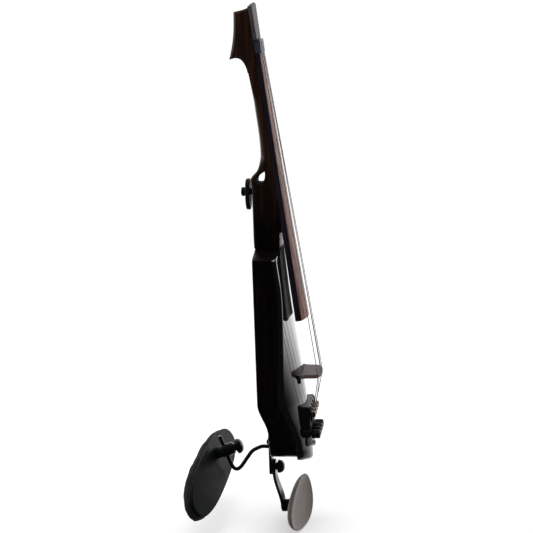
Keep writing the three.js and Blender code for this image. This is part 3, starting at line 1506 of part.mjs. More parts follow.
const strapFrontX = strapBackX + strapThickness;
const armBackX = strapFrontX + fitGap;
const armFrontX = armBackX + strapThickness;
{
  const bracketLowZ = chinPivotZ - chinStrapLift;
  const outline = strapOutline(bracketLowZ, bracketTopZ, strapWidth);
  const blank = extrudeX(outline, strapBackX, strapFrontX, { curveSegments: 4 });
  const [clearBack, clearFront] = [strapBackX - overrun, strapFrontX + overrun];
  const tools = [rodAlong('x', socketRadius + fitGap, clearBack, clearFront, roundSegments)];
  tools[0].translate(0, 0, rodZ);
  const studHole = rodAlong('x', rodRadius + fitGap, clearBack, clearFront);
  studHole.translate(0, 0, chinPivotZ);
  tools.push(studHole);
  for (const [y, z] of bracketScrewPlaces()) {
    const hole = rodAlong('x', bracketScrewRadius * 0.55 + fitGap, clearBack, clearFront);
    hole.translate(0, y, z);
    tools.push(hole);
  }
  addPiece(electricViolin, 'chin_bracket', cut(blank, ...tools), 'blackMetal');

  for (const [i, [y, z]] of bracketScrewPlaces().entries()) {
    const seat = strapBackX - fitGap;
    const screw = turned([
      [0, seat - bracketScrewHead], [bracketScrewRadius * 0.7, seat - bracketScrewHead],
      [bracketScrewRadius * 0.9, seat - bracketScrewHead * 0.3], [bracketScrewRadius * 0.9, seat],
      [bracketScrewRadius * 0.55, seat], [bracketScrewRadius * 0.55, tailBackX + socketLength / 2],
      [0, tailBackX + socketLength / 2],
    ], smallSegments);
    screw.rotateY(90 * deg);
    screw.translate(0, y, z);
    addPiece(electricViolin, `bracket_screw_${i + 1}`, screw, 'blackMetal');
  }
}

// Chin dish frame: local Z is the dish's face normal
const dishAxes = tiltedAxes(dishTiltDeg, dishYawDeg, dishTurnDeg);
const dishFrame = new THREE.Group();
dishFrame.position.set(dishX, dishY, dishZ);
dishFrame.quaternion.setFromRotationMatrix(dishAxes);
electricViolin.add(dishFrame);
dishFrame.updateMatrix();
const dishLengthAxis = V(0, 0, 0).setFromMatrixColumn(dishFrame.matrix, 0);
const dishWidthAxis = V(0, 0, 0).setFromMatrixColumn(dishFrame.matrix, 1);
const dishNormal = V(0, 0, 0).setFromMatrixColumn(dishFrame.matrix, 2);
const eyeFace = -dishThickness - mountLength - fitGap * 2;

// The arm is a strap that twists from the bracket to the dish's mount, with a
// round end at each
{
  const eye = dishFrame.position.clone().addScaledVector(dishNormal, eyeFace - strapThickness / 2);
  const pivot = V((armBackX + armFrontX) / 2, 0, chinPivotZ);
  const straightEnd = pivot.clone().add(V(0, 0, -chinStrapLift * 0.9));
  const eyeStart = eye.clone().addScaledVector(dishWidthAxis, -mountRadius);
  const reach = straightEnd.distanceTo(eyeStart);
  const bend = new THREE.CubicBezierCurve3(
    straightEnd, straightEnd.clone().add(V(0, 0, -reach * 0.22)),
    eyeStart.clone().addScaledVector(dishWidthAxis, -reach * 0.3), eyeStart,
  );
  const topHalf = strapWidth / 2;
  const waistHalf = strapWidth * 0.31;
  const rings = [];
  const addRing = (point, turn, half) => {
    const across = V(0, 1, 0).lerp(dishLengthAxis.clone().negate(), turn).normalize();
    const through = V(1, 0, 0).lerp(dishNormal, turn).normalize();
    rings.push([[1, 1], [-1, 1], [-1, -1], [1, -1]].map(([w, t]) => (
      point.clone().addScaledVector(across, w * half).addScaledVector(through, (t * strapThickness) / 2))));
  };
  const roundSteps = 5;
  for (let i = 1; i <= roundSteps; i += 1) {
    const angle = (i / roundSteps) * 90 * deg;
    addRing(pivot.clone().add(V(0, 0, topHalf * Math.cos(angle))), 0, topHalf * Math.sin(angle));
  }
  addRing(straightEnd, 0, lerp(topHalf, waistHalf, 0.4));
  const bendStops = 8;
  for (let i = 1; i <= bendStops; i += 1) {
    const share = i / bendStops;
    const half = lerp(topHalf, waistHalf, 0.4 + 0.6 * share);
    addRing(bend.getPoint(share), THREE.MathUtils.smoothstep(share, 0, 0.95), half);
  }
  for (let i = 1 - roundSteps; i < roundSteps; i += 1) {
    const angle = (i / roundSteps) * 90 * deg;
    const half = mountRadius * Math.cos(angle);
    const past = eye.clone().addScaledVector(dishWidthAxis, mountRadius * Math.sin(angle));
    if (i > 0 || half > waistHalf) addRing(past, 1, half);
  }
  const studHole = rodAlong('x', rodRadius + fitGap, armBackX - overrun, armFrontX + overrun);
  studHole.translate(0, 0, chinPivotZ);
  const pinHole = rodAlong('z', rodRadius + fitGap, eyeFace - overrun * 2, eyeFace + overrun);
  pinHole.applyMatrix4(dishFrame.matrix);
  addPiece(electricViolin, 'chin_arm', cut(loft(rings), studHole, pinHole), 'blackMetal');

  const knob = domedKnob(chinKnobRadius, gripKnobNeckRadius, chinKnobNeck, chinKnobDome, armFrontX + fitGap);
  const stud = rodAlong('z', rodRadius, strapBackX + fitGap, armFrontX + overrun);
  const chinKnob = join(knob, stud);
  chinKnob.rotateY(90 * deg);
  chinKnob.translate(0, 0, chinPivotZ);
  addPiece(electricViolin, 'chin_knob', chinKnob, 'blackMetal');
}

// Ribbed mount and the hollowed dish
{
  const top = -dishThickness - fitGap;
  const profile = [[0, top - mountLength], [mountRadius, top - mountLength]];
  for (let i = 0; i < mountRibs; i += 1) {
    const low = lerp(top - mountLength, top, (i + 0.35) / (mountRibs + 0.2));
    const high = lerp(top - mountLength, top, (i + 0.8) / (mountRibs + 0.2));
    profile.push([mountRadius, low], [mountRadius - mountRibDepth, low]);
    profile.push([mountRadius - mountRibDepth, high], [mountRadius, high]);
  }
  profile.push([mountRadius, top], [0, top]);
  const body = turned(profile, roundSegments);
  const pin = rodAlong('z', rodRadius, eyeFace - strapThickness - fitGap, top - mountLength / 2);
  addPiece(dishFrame, 'chin_mount', join(body, pin), 'blackPlastic');

  const outline = eggOf(oval(dishLength, dishWidth, 2.2, 32), dishLength, dishEggShare);
  const straight = (u, v, height) => V(u, v, height);
  addPiece(dishFrame, 'chin_dish', stacked(outline, [
    [0.22, -dishThickness], [0.6, -dishThickness],
    [0.86, -dishThickness * 0.72], [0.97, -dishThickness * 0.36],
    [1, -dishThickness * 0.12], [0.985, 0], [0.93, 0], [0.8, -dishHollow * 0.45],
    [0.55, -dishHollow * 0.85], [0.25, -dishHollow],
  ], straight), 'blackPlastic');
}

export default electricViolin;
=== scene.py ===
# %% [markdown]
# # Dressing an electric violin
# The CAD model of this instrument is already packed as a fixed frame: every
# solid sits where it belongs, and every moving piece has its joint. This lesson
# gives that frame its looks. It makes finer pieces over the coarse solids,
# mixes a procedural finish for each material, and sets the studio and camera.
# Lengths are written in millimetres and turned into metres by one factor.

from math import cos, pi, radians, sin, sqrt, tan

import bmesh
import bpy
from mathutils import Matrix, Vector


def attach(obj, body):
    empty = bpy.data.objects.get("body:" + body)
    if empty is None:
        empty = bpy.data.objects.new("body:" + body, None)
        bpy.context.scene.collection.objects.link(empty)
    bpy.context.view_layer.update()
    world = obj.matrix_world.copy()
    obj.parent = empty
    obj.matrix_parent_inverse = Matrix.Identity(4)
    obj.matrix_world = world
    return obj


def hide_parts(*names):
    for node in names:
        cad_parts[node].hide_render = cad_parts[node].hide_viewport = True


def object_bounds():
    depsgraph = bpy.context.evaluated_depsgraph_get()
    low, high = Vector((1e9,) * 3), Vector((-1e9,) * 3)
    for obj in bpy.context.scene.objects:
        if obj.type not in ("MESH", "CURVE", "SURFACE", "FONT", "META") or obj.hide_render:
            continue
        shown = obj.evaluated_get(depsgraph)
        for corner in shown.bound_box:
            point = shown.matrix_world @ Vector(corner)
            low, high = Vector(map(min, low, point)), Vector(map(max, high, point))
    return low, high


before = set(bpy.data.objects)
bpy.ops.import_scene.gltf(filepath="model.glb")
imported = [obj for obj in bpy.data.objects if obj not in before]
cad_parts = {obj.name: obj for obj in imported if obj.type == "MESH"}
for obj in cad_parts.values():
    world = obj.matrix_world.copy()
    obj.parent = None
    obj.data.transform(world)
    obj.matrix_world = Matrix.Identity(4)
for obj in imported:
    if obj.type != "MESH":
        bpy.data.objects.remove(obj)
cad_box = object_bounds()
MM = 0.001

# %% [markdown]
# The photograph was taken from the bass side, from a little above, with a long
# lens. The numbers that matter are the distance, the angle round the
# instrument, the angle above it and a slight roll. They were found by matching
# straight edges of the model with the same edges in the photograph.

# %% Set the camera
IMAGE_SIDE_PX, FOCAL_PX, SENSOR_MM, VIEW_FAR_M = 533, 1430, 36, 100
CAMERA_DISTANCE = 1421.8 * MM
CAMERA_ROUND_DEG, CAMERA_ABOVE_DEG, CAMERA_ROLL_DEG = 8, 12.6, -1.98
CAMERA_TARGET = Vector((10.94, -20, 62.07)) * MM


def place_camera():
    turn, lift = radians(CAMERA_ROUND_DEG), radians(CAMERA_ABOVE_DEG)
    back = Vector((sin(turn) * cos(lift), -cos(turn) * cos(lift), sin(lift)))
    level = Vector((cos(turn), sin(turn), 0))
    up = back.cross(level)
    roll = radians(CAMERA_ROLL_DEG)
    right = level * cos(roll) + up * sin(roll)
    upright = up * cos(roll) - level * sin(roll)
    lens = bpy.data.cameras.new("studio_camera")
    lens.sensor_width = SENSOR_MM
    lens.lens = FOCAL_PX / IMAGE_SIDE_PX * SENSOR_MM
    lens.clip_end = VIEW_FAR_M
    camera = bpy.data.objects.new("studio_camera", lens)
    bpy.context.scene.collection.objects.link(camera)
    axes = Matrix((right, upright, back)).transposed().to_4x4()
    camera.matrix_world = Matrix.Translation(CAMERA_TARGET + back * CAMERA_DISTANCE) @ axes
    bpy.context.scene.camera = camera
    print("lens", round(lens.lens, 2), "mm, camera at", [round(c, 3) for c in camera.location])


place_camera()
bpy.context.scene.view_settings.view_transform = "Standard"

# %% [markdown]
# World, floor and finishes are node trees. One helper adds a node with its
# settings and inputs, one links two sockets, and one tells whether a ray comes
# from the camera, straight or through something clear.

# %% Helpers for shader nodes


def node(owner, kind, settings=None, **inputs):
    made = owner.node_tree.nodes.new(kind)
    for key, value in (settings or {}).items():
        setattr(made, key, value)
    for key, value in inputs.items():
        made.inputs[key.replace("_", " ").title()].default_value = value
    return made


def link(owner, source, target):
    owner.node_tree.links.new(source, target)


def looked_at(owner):
    path = node(owner, "ShaderNodeLightPath")
    seen = node(owner, "ShaderNodeMath", {"operation": "MAXIMUM"})
    link(owner, path.outputs["Is Camera Ray"], seen.inputs[0])
    link(owner, path.outputs["Is Transmission Ray"], seen.inputs[1])
    return seen.outputs[0]


print("node helpers ready")

# %% [markdown]
# A glossy instrument shows its surroundings, so the studio matters as much as
# the lacquer. The backdrop is white behind the instrument and the room is dark
# behind the camera, as where black flags are set up: polished faces that turn
# towards the backdrop look pale, and those that face the camera stay deep. The
# world does this by direction, and only for reflections. Diffuse light comes
# evenly from all round, and soft lamps give the long highlights.

# %% Light the studio
DIFFUSE_LEVEL, DARK_ROOM, BRIGHT_BACKDROP = 0.55, 0.015, 2
FADE_START, FADE_END = 0.05, 0.95
LAMPS = {
    "overhead": ((0.1, 0.1, 1.5), (0, 0, 0.05), (0.9, 0.9), 8),
    "bass_side": ((-1.3, -0.3, 0.6), (0, 0, 0.05), (0.35, 1.0), 2),
    "front_side": ((0.9, 1.2, 0.4), (0, 0, 0), (0.5, 1.2), 6),
    "back_rim": ((-1.3, 0.25, 0.5), (0, 0, 0.1), (0.3, 1.0), 4),
}


def build_world():
    world = bpy.data.worlds.new("studio")
    bpy.context.scene.world = world
    world.use_nodes = True
    split = node(world, "ShaderNodeSeparateXYZ")
    link(world, node(world, "ShaderNodeTexCoord").outputs["Generated"], split.inputs[0])
    fade = node(world, "ShaderNodeMapRange", {"interpolation_type": "SMOOTHSTEP"},
                from_min=FADE_START, from_max=FADE_END, to_min=DARK_ROOM, to_max=BRIGHT_BACKDROP)
    link(world, split.outputs["Y"], fade.inputs["Value"])
    lit = node(world, "ShaderNodeMix")
    lit.inputs[2].default_value = DIFFUSE_LEVEL
    link(world, node(world, "ShaderNodeLightPath").outputs["Is Glossy Ray"], lit.inputs[0])
    link(world, fade.outputs[0], lit.inputs[3])
    strength = node(world, "ShaderNodeMix")
    strength.inputs[3].default_value = 1
    link(world, looked_at(world), strength.inputs[0])
    link(world, lit.outputs[0], strength.inputs[2])
    background = world.node_tree.nodes["Background"]
    background.inputs["Color"].default_value = (1, 1, 1, 1)
    link(world, strength.outputs[0], background.inputs["Strength"])


def soft_lamp(name, place, target, size, watts):
    lamp = bpy.data.lights.new(name, "AREA")
    lamp.shape = "RECTANGLE"
    lamp.size, lamp.size_y = size
    lamp.energy = watts
    holder = bpy.data.objects.new(name, lamp)
    bpy.context.scene.collection.objects.link(holder)
    holder.location = place
    holder.rotation_euler = (Vector(target) - Vector(place)).to_track_quat("-Z", "Y").to_euler()


build_world()
for name, values in LAMPS.items():
    soft_lamp(name, *values)

# %% [markdown]
# The floor is a pale sheet just under the lowest point. It keeps the soft
# shadow of the instrument, and is hidden from reflections, so that the lacquer
# mirrors the world alone. Seen directly it also glows a little, more with
# distance, so that it runs into the white backdrop without a horizon.

# %% Lay the floor
FLOOR_GAP = 0.4 * MM
FLOOR_NEAR_Y, FLOOR_FAR = -0.6, 20.0
FLOOR_COLOUR, NEAR_GLOW, FAR_GLOW = 0.8, 0.35, 0.62
GLOW_FROM, GLOW_TO = 0.3, 2.5


def floor_material():
    pale = bpy.data.materials.new("pale_floor")
    pale.use_nodes = True
    pale.node_tree.nodes.clear()
    matte = node(pale, "ShaderNodeBsdfDiffuse", color=(FLOOR_COLOUR,) * 3 + (1,))
    reach = node(pale, "ShaderNodeVectorMath", {"operation": "LENGTH"})
    link(pale, node(pale, "ShaderNodeTexCoord").outputs["Object"], reach.inputs[0])
    amount = node(pale, "ShaderNodeMapRange", from_min=GLOW_FROM, from_max=GLOW_TO,
                  to_min=NEAR_GLOW, to_max=FAR_GLOW)
    link(pale, reach.outputs["Value"], amount.inputs["Value"])
    strength = node(pale, "ShaderNodeMath", {"operation": "MULTIPLY"})
    link(pale, looked_at(pale), strength.inputs[0])
    link(pale, amount.outputs[0], strength.inputs[1])
    glow = node(pale, "ShaderNodeEmission")
    link(pale, strength.outputs[0], glow.inputs["Strength"])
    both = node(pale, "ShaderNodeAddShader")
    link(pale, matte.outputs[0], both.inputs[0])
    link(pale, glow.outputs[0], both.inputs[1])
    link(pale, both.outputs[0], node(pale, "ShaderNodeOutputMaterial").inputs[0])
    return pale


def lay_floor():
    low = cad_box[0].z - FLOOR_GAP
    corners = [(-FLOOR_FAR, FLOOR_NEAR_Y), (FLOOR_FAR, FLOOR_NEAR_Y),
               (FLOOR_FAR, FLOOR_FAR * 2), (-FLOOR_FAR, FLOOR_FAR * 2)]
    mesh = bpy.data.meshes.new("floor")
    mesh.from_pydata([(x, y, low) for x, y in corners], [], [(0, 1, 2, 3)])
    mesh.materials.append(floor_material())
    floor = bpy.data.objects.new("floor", mesh)
    bpy.context.scene.collection.objects.link(floor)
    floor.visible_glossy = False
    print("floor at", round(low, 4))


lay_floor()

# %% [markdown]
# Each finish is one Principled shader with patterns added by a few helpers. A
# value that is the same all over goes straight on the shader's socket. Patterns
# read Object coordinates, which are metres in the instrument's own frame, so
# they stay put when a piece moves. Every finish is kept under its name.

# %% Helpers for the finishes
FINISHES = {}


def finish(name, colour, roughness, **settings):
    material = FINISHES[name] = bpy.data.materials.new(name)
    material.use_nodes = True
    shader = material.node_tree.nodes["Principled BSDF"]
    shader.inputs["Base Color"].default_value = (*colour, 1)
    shader.inputs["Roughness"].default_value = roughness
    for key, value in settings.items():
        shader.inputs[key.replace("_", " ").title().replace("Ior", "IOR")].default_value = value
    return material


def coordinates(material, stretch=(1, 1, 1)):
    spot = node(material, "ShaderNodeTexCoord")
    mapping = node(material, "ShaderNodeMapping", scale=stretch)
    link(material, spot.outputs["Object"], mapping.inputs["Vector"])
    return mapping.outputs["Vector"]


def noise(material, where, scale, detail=3.0, roughness=0.5):
    made = node(material, "ShaderNodeTexNoise", scale=scale, detail=detail, roughness=roughness)
    link(material, where, made.inputs["Vector"])
    return made.outputs["Fac"]


def ramp(material, value, stops):
    made = node(material, "ShaderNodeValToRGB")
    rail = made.color_ramp.elements
    while len(rail) < len(stops):
        rail.new(0.5)
    for stop, (position, colour) in zip(rail, stops):
        stop.position = position
        stop.color = (*colour, 1)
    link(material, value, made.inputs["Fac"])
    return made.outputs["Color"]


def spread(material, value, low, high, start=0.0, end=1.0):
    made = node(material, "ShaderNodeMapRange", to_min=low, to_max=high, from_min=start,
                from_max=end)
    link(material, value, made.inputs["Value"])
    return made.outputs["Result"]


def shader_of(material):
    return material.node_tree.nodes["Principled BSDF"]


def colour_from(material, colour):
    link(material, colour, shader_of(material).inputs["Base Color"])


def roughness_from(material, value):
    link(material, value, shader_of(material).inputs["Roughness"])


def bump_from(material, height, strength, distance):
    made = node(material, "ShaderNodeBump", strength=strength, distance=distance)
    link(material, height, made.inputs["Height"])
    link(material, made.outputs["Normal"], shader_of(material).inputs["Normal"])


print("finish helpers ready")

# %% [markdown]
# The neck, head and core are one dark red-brown stain under clear lacquer. The
# grain runs along the instrument, so the noise is squeezed across and stretched
# along Z. Two scales are mixed: broad figure and fine pores.

# %% Stained wood under lacquer
LONG_GRAIN = (1, 1, 0.06)
BURST_LOW, BURST_HIGH = 100 * MM, 175 * MM


def stained_wood():
    wood = finish("stained_wood", (0.004, 0.002, 0.0015), 0.3, specular_ior_level=0.12)
    along = coordinates(wood, LONG_GRAIN)
    figure = noise(wood, along, 220, 5, 0.6)
    dark = ramp(wood, figure, [(0.3, (0.0008, 0.0004, 0.0004)), (0.52, (0.0024, 0.0012, 0.001)),
                               (0.75, (0.008, 0.0036, 0.0024))])
    brown = ramp(wood, figure, [(0.3, (0.008, 0.003, 0.0014)), (0.52, (0.02, 0.008, 0.004)),
                                (0.75, (0.045, 0.018, 0.008))])
    place = node(wood, "ShaderNodeSeparateXYZ")
    link(wood, coordinates(wood), place.inputs[0])
    burst = node(wood, "ShaderNodeMix", {"data_type": "RGBA"})
    link(wood, spread(wood, place.outputs["Z"], 0, 1, BURST_LOW, BURST_HIGH),
         burst.inputs["Factor"])
    link(wood, dark, burst.inputs[6])
    link(wood, brown, burst.inputs[7])
    colour_from(wood, burst.outputs[2])
    pores = noise(wood, along, 1500, 3)
    roughness_from(wood, spread(wood, pores, 0.24, 0.36))
    bump_from(wood, pores, 0.06, 0.05 * MM)


stained_wood()
print("made", list(FINISHES))

# %% [markdown]
# The arched top is polished black lacquer, as on a piano. One smooth layer
# does it: seen at a glancing angle it is a mirror, seen straight on it is black.
# What keeps it from looking like glass is a very faint waviness left by
# buffing, and a film of fine scratches that shows only as uneven roughness.

# %% Piano lacquer


def piano_lacquer():
    lacquer = finish("piano_lacquer", (0.004, 0.0035, 0.004), 0.06, ior=1.85)
    where = coordinates(lacquer)
    haze = noise(lacquer, where, 60, 6, 0.65)
    roughness_from(lacquer, spread(lacquer, haze, 0.04, 0.1, 0.35, 0.7))
    waves = noise(lacquer, where, 45, 1)
    bump_from(lacquer, waves, 0.04, 0.2 * MM)


piano_lacquer()
print("made", list(FINISHES)[-1:])

# %% [markdown]
# Fingerboard wood is dense and dark, with short pores. It is oiled and rubbed,
# not lacquered, so its shine is broad. Its playing face gets a paler, reddish
# copy of the same wood: painted sheen for the light that face catches. The
# bridge is bare wood with flecks.

# %% Fingerboard and bridge wood


def streaked(name, dark, middle, pale, rough, scale=420, specular=0.5):
    wood = finish(name, middle, rough[0], specular_ior_level=specular)
    along = coordinates(wood, LONG_GRAIN)
    streaks = noise(wood, along, scale, 6, 0.62)
    colour_from(wood, ramp(wood, streaks, [(0.3, dark), (0.55, middle), (0.8, pale)]))
    pores = noise(wood, along, 2200, 2)
    roughness_from(wood, spread(wood, pores, *rough))
    bump_from(wood, pores, 0.2, 0.05 * MM)


def bridge_wood():
    wood = finish("bridge_wood", (0.06, 0.04, 0.036), 0.5, specular_ior_level=0.12)
    across = coordinates(wood, (1, 0.12, 1))
    flecks = noise(wood, across, 900, 4, 0.6)
    colour_from(wood, ramp(wood, flecks, [
        (0.3, (0.05, 0.032, 0.03)), (0.6, (0.11, 0.075, 0.07)), (0.8, (0.16, 0.11, 0.1)),
    ]))
    roughness_from(wood, spread(wood, flecks, 0.42, 0.6))
    bump_from(wood, flecks, 0.15, 0.04 * MM)


streaked("board_wood", (0.005, 0.003, 0.007), (0.011, 0.0065, 0.016), (0.028, 0.017, 0.032),
         (0.3, 0.46))
# The paler copy of the board wood is painted sheen for the lit playing face, not another wood.
streaked("board_face_painted_sheen", (0.05, 0.02, 0.016), (0.2, 0.095, 0.075), (0.5, 0.29, 0.21),
         (0.38, 0.52), 300, 0.12)
bridge_wood()
# Near-black, dull finish for the wall of the leaf hole: painted shade inside the hole.
finish("leaf_wall_painted_shade", (0.0015, 0.001, 0.0008), 0.9, specular_ior_level=0.05)
print("made", list(FINISHES)[-4:])

# %% [markdown]
# Black is never one colour on a real object. The nut is a bluish satin, the
# metal hardware is satin with a cold tint and rubbed patches, the plastic is
# matte with a fine moulded grain, and the chin dish is a brown-grey satin. Each
# row gives a dark and a pale colour, a range of roughness, the scale, strength
# and depth in millimetres of the grain, and how strongly the surface reflects.

# %% Black hardware and plastics
MOTTLED = {
    "nut_black": ((0.02, 0.023, 0.035), (0.05, 0.055, 0.08), (0.3, 0.4), 900, 0.05, 0.03, 0.08),
    "head_satin": ((0.035, 0.032, 0.04), (0.08, 0.07, 0.075), (0.5, 0.6), 1200, 0.05, 0.03, 0.06),
    "block_metal": ((0.0018, 0.002, 0.002), (0.005, 0.006, 0.006), (0.34, 0.46), 2600, 0.1, 0.03,
                    0.14),
    "black_metal": ((0.002, 0.0022, 0.0026), (0.006, 0.0065, 0.0075), (0.28, 0.42), 2600, 0.1,
                    0.03, 0.22),
    "knob_black": ((0.002, 0.0022, 0.0026), (0.005, 0.0055, 0.006), (0.3, 0.42), 1500, 0.06,
                   0.03, 0.2),
    "black_plastic": ((0.0025, 0.003, 0.0035), (0.007, 0.008, 0.009), (0.42, 0.58), 2200, 0.2,
                      0.05, 0.15),
    "plate_plastic": ((0.001, 0.0018, 0.002), (0.004, 0.006, 0.0065), (0.48, 0.62), 2200, 0.25,
                      0.05, 0.05),
    "tail_satin": ((0.4, 0.37, 0.31), (0.55, 0.51, 0.43), (0.35, 0.5), 900, 0.05, 0.02, 0.5),
    "dish_plastic": ((0.09, 0.07, 0.06), (0.13, 0.104, 0.09), (0.36, 0.48), 1800, 0.12, 0.04,
                     0.08),
    "foam_rubber": ((0.002, 0.0025, 0.003), (0.007, 0.0085, 0.009), (0.8, 0.95), 1500, 0.6, 0.2,
                    0.2),
    "card_green": ((0.008, 0.04, 0.016), (0.015, 0.08, 0.03), (0.3, 0.5), 900, 0.1, 0.05, 0.5),
    "lead_black": ((0.004, 0.004, 0.005), (0.01, 0.01, 0.011), (0.45, 0.6), 1400, 0.1, 0.04, 0.5),
}
MORE_SETTINGS = {"tail_satin": {"metallic": 0.6},
                 "foam_rubber": {"sheen_weight": 0.05, "sheen_roughness": 0.6}}


def mottled(name, dark, pale, rough, scale, bump, depth, specular):
    material = finish(name, pale, rough[0], specular_ior_level=specular,
                      **MORE_SETTINGS.get(name, {}))
    where = coordinates(material)
    patches = noise(material, where, 140, 5, 0.6)
    colour_from(material, ramp(material, patches, [(0.3, dark), (0.75, pale)]))
    roughness_from(material, spread(material, patches, rough[0], rough[1], 0.25, 0.8))
    bump_from(material, noise(material, where, scale, 2), bump, depth * MM)


for name, row in MOTTLED.items():
    mottled(name, *row)
print("made", list(MOTTLED))

# %% [markdown]
# Metals are lit almost only by reflections. A brushed metal has fine lines one
# way, so its noise is stretched hard across one axis and drives the roughness
# and a very low bump.

# %% Brass and steel


def brushed(name, colour, dull, rough, stretch, bump):
    metal = finish(name, colour, rough[0], metallic=1.0)
    lines = noise(metal, coordinates(metal, stretch), 2400, 4, 0.7)
    stains = noise(metal, coordinates(metal), 260, 4, 0.6)
    colour_from(metal, ramp(metal, stains, [(0.3, dull), (0.65, colour)]))
    roughness_from(metal, spread(metal, lines, rough[0], rough[1], 0.25, 0.75))
    bump_from(metal, lines, bump, 0.02 * MM)


brushed("brass", (0.5, 0.37, 0.27), (0.16, 0.11, 0.08), (0.26, 0.44), (1, 1, 0.05), 0.1)
brushed("plated_steel", (0.62, 0.62, 0.63), (0.42, 0.42, 0.44), (0.14, 0.28), (1, 0.1, 1), 0.06)
brushed("string_steel", (0.6, 0.58, 0.56), (0.42, 0.4, 0.4), (0.25, 0.4), (1, 1, 0.3), 0.1)
print("made", list(FINISHES)[-3:])

# %% [markdown]
# Every CAD node first gets its finish. Those that a finer piece replaces later
# are hidden then, and the others stay as they are.

# %% Dress the CAD nodes
NODES_OF = {
    "stained_wood": ["neck", "body_core"],
    "piano_lacquer": ["body_top", "head_overlay"],
    "nut_black": ["nut"],
    "board_wood": ["fingerboard"],
    "bridge_wood": ["bridge"],
    "brass": ["string_clamp_"],
    "plated_steel": ["tail_screw", "thumb_stud", "rod_socket", "volume_pot", "tone_pot"],
    "string_steel": ["string_g", "string_d", "string_a", "string_e"],
    "black_metal": ["tuner_block", "tuner_knob_", "block_screw_", "neck_bolt_", "cover_screw_",
                    "output_socket", "thumb_knob", "shoulder_rod", "rod_lock_screw", "rod_grip",
                    "grip_knob", "chin_bracket", "bracket_screw_", "chin_arm", "chin_knob"],
    "black_plastic": ["pickup_bass", "pickup_treble", "pickup_plug", "rear_cover", "volume_dial",
                      "tone_dial", "thumb_plate", "thumb_washer", "shoulder_plate", "chin_mount"],
    "foam_rubber": ["shoulder_pad"],
    "dish_plastic": ["chin_dish"],
    "card_green": ["preamp_card"],
    "lead_black": ["pickup_lead", "socket_lead"],
}


def dress_nodes():
    done = 0
    for finish_name, names in NODES_OF.items():
        for name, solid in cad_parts.items():
            if any(name == n or (n.endswith("_") and name.startswith(n)) for n in names):
                for place in solid.material_slots:
                    place.material = FINISHES[finish_name]
                done += 1
    print("dressed", done, "of", len(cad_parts), "nodes")


dress_nodes()

# %% [markdown]
# The finer pieces are built as skins: a list of closed rings, joined by faces
# and closed at both ends. One helper turns such shapes into a mesh in metres,
# with smooth faces, crisp edges where two faces meet at a real angle, and
# normals that favour the large faces, so that flats look flat beside a round
# edge. Only a few shapes need a boolean. It is an exact one, but for the tuner
# block, whose slots the manifold solver cuts. A finished piece takes its body
# and its finish, and hides the CAD nodes it replaces.

# %% Helpers for the shapes
X, Y, Z = Vector((1, 0, 0)), Vector((0, 1, 0)), Vector((0, 0, 1))


def lerp(a, b, share):
    return a + (b - a) * share


def smoothstep(value, low, high):
    share = min(max((value - low) / (high - low), 0), 1)
    return share * share * (3 - 2 * share)


def smooth_at(table, place):
    if place <= table[0][0]:
        return table[0][1]
    if place >= table[-1][0]:
        return table[-1][1]
    i = max(k for k in range(len(table) - 1) if table[k][0] <= place)

    def slope(k):
        (a, low), (b, high) = table[max(k - 1, 0)], table[min(k + 1, len(table) - 1)]
        return (high - low) / (b - a)

    width = table[i + 1][0] - table[i][0]
    t = (place - table[i][0]) / width
    rise = (1 + 2 * t) * (1 - t) ** 2 * table[i][1] + t * t * (3 - 2 * t) * table[i + 1][1]
    return rise + width * (t * (1 - t) ** 2 * slope(i) - t * t * (1 - t) * slope(i + 1))


def skin(rings, caps=True):
    sides = len(rings[0])
    points = [Vector(p) for ring in rings for p in ring]
    faces = []
    for r in range(len(rings) - 1):
        for s in range(sides):
            a, b = r * sides + s, r * sides + (s + 1) % sides
            faces.append((a, b, b + sides, a + sides))
    if caps:
        faces.append(tuple(range(sides))[::-1])
        faces.append(tuple(range((len(rings) - 1) * sides, len(rings) * sides)))
    return points, faces


def placed(matrix, *shapes):
    return [([matrix @ p for p in points], faces) for points, faces in shapes]


def crisp(mesh, sharp_deg=32):
    mesh.shade_smooth()
    mesh.set_sharp_from_angle(angle=radians(sharp_deg))
    return mesh


def mesh_of(name, shapes):
    sheet = bmesh.new()
    for points, faces in shapes:
        corners = [sheet.verts.new(p * MM) for p in points]
        for face in faces:
            sheet.faces.new([corners[i] for i in face])
    bmesh.ops.remove_doubles(sheet, verts=sheet.verts, dist=1e-7)
    bmesh.ops.dissolve_degenerate(sheet, edges=sheet.edges, dist=1e-7)
    bmesh.ops.recalc_face_normals(sheet, faces=sheet.faces)
    mesh = bpy.data.meshes.new(name)
    sheet.to_mesh(mesh)
    sheet.free()
    return crisp(mesh)


def baked(holder):
    bpy.context.view_layer.update()
    graph = bpy.context.evaluated_depsgraph_get()
    mesh = bpy.data.meshes.new_from_object(holder.evaluated_get(graph), depsgraph=graph)
    holder.modifiers.clear()
    holder.data = mesh
    return holder


def linked(name, mesh):
    holder = bpy.data.objects.new(name, mesh)
    bpy.context.scene.collection.objects.link(holder)
    return holder


def carve(holder, cutters, operation="DIFFERENCE", solver="EXACT"):
    tools = []
    for i, shapes in enumerate(cutters):
        tool = linked(f"tool_{i}", mesh_of(f"tool_{i}", shapes))
        step = holder.modifiers.new(f"step_{i}", "BOOLEAN")
        step.operation, step.solver, step.object = operation, solver, tool
        tools.append(tool)
    baked(holder)
    for tool in tools:
        bpy.data.objects.remove(tool)
    crisp(holder.data)


def joined(holder, meshes, matrix=None):
    sheet = bmesh.new()
    for mesh in (holder.data, *meshes):
        sheet.from_mesh(mesh)
    if matrix:
        to_mm, to_metres = (Matrix.Diagonal((s, s, s, 1)) for s in (1 / MM, MM))
        bmesh.ops.transform(sheet, matrix=to_metres @ matrix @ to_mm, verts=sheet.verts)
    sheet.to_mesh(holder.data)
    sheet.free()
    crisp(holder.data)


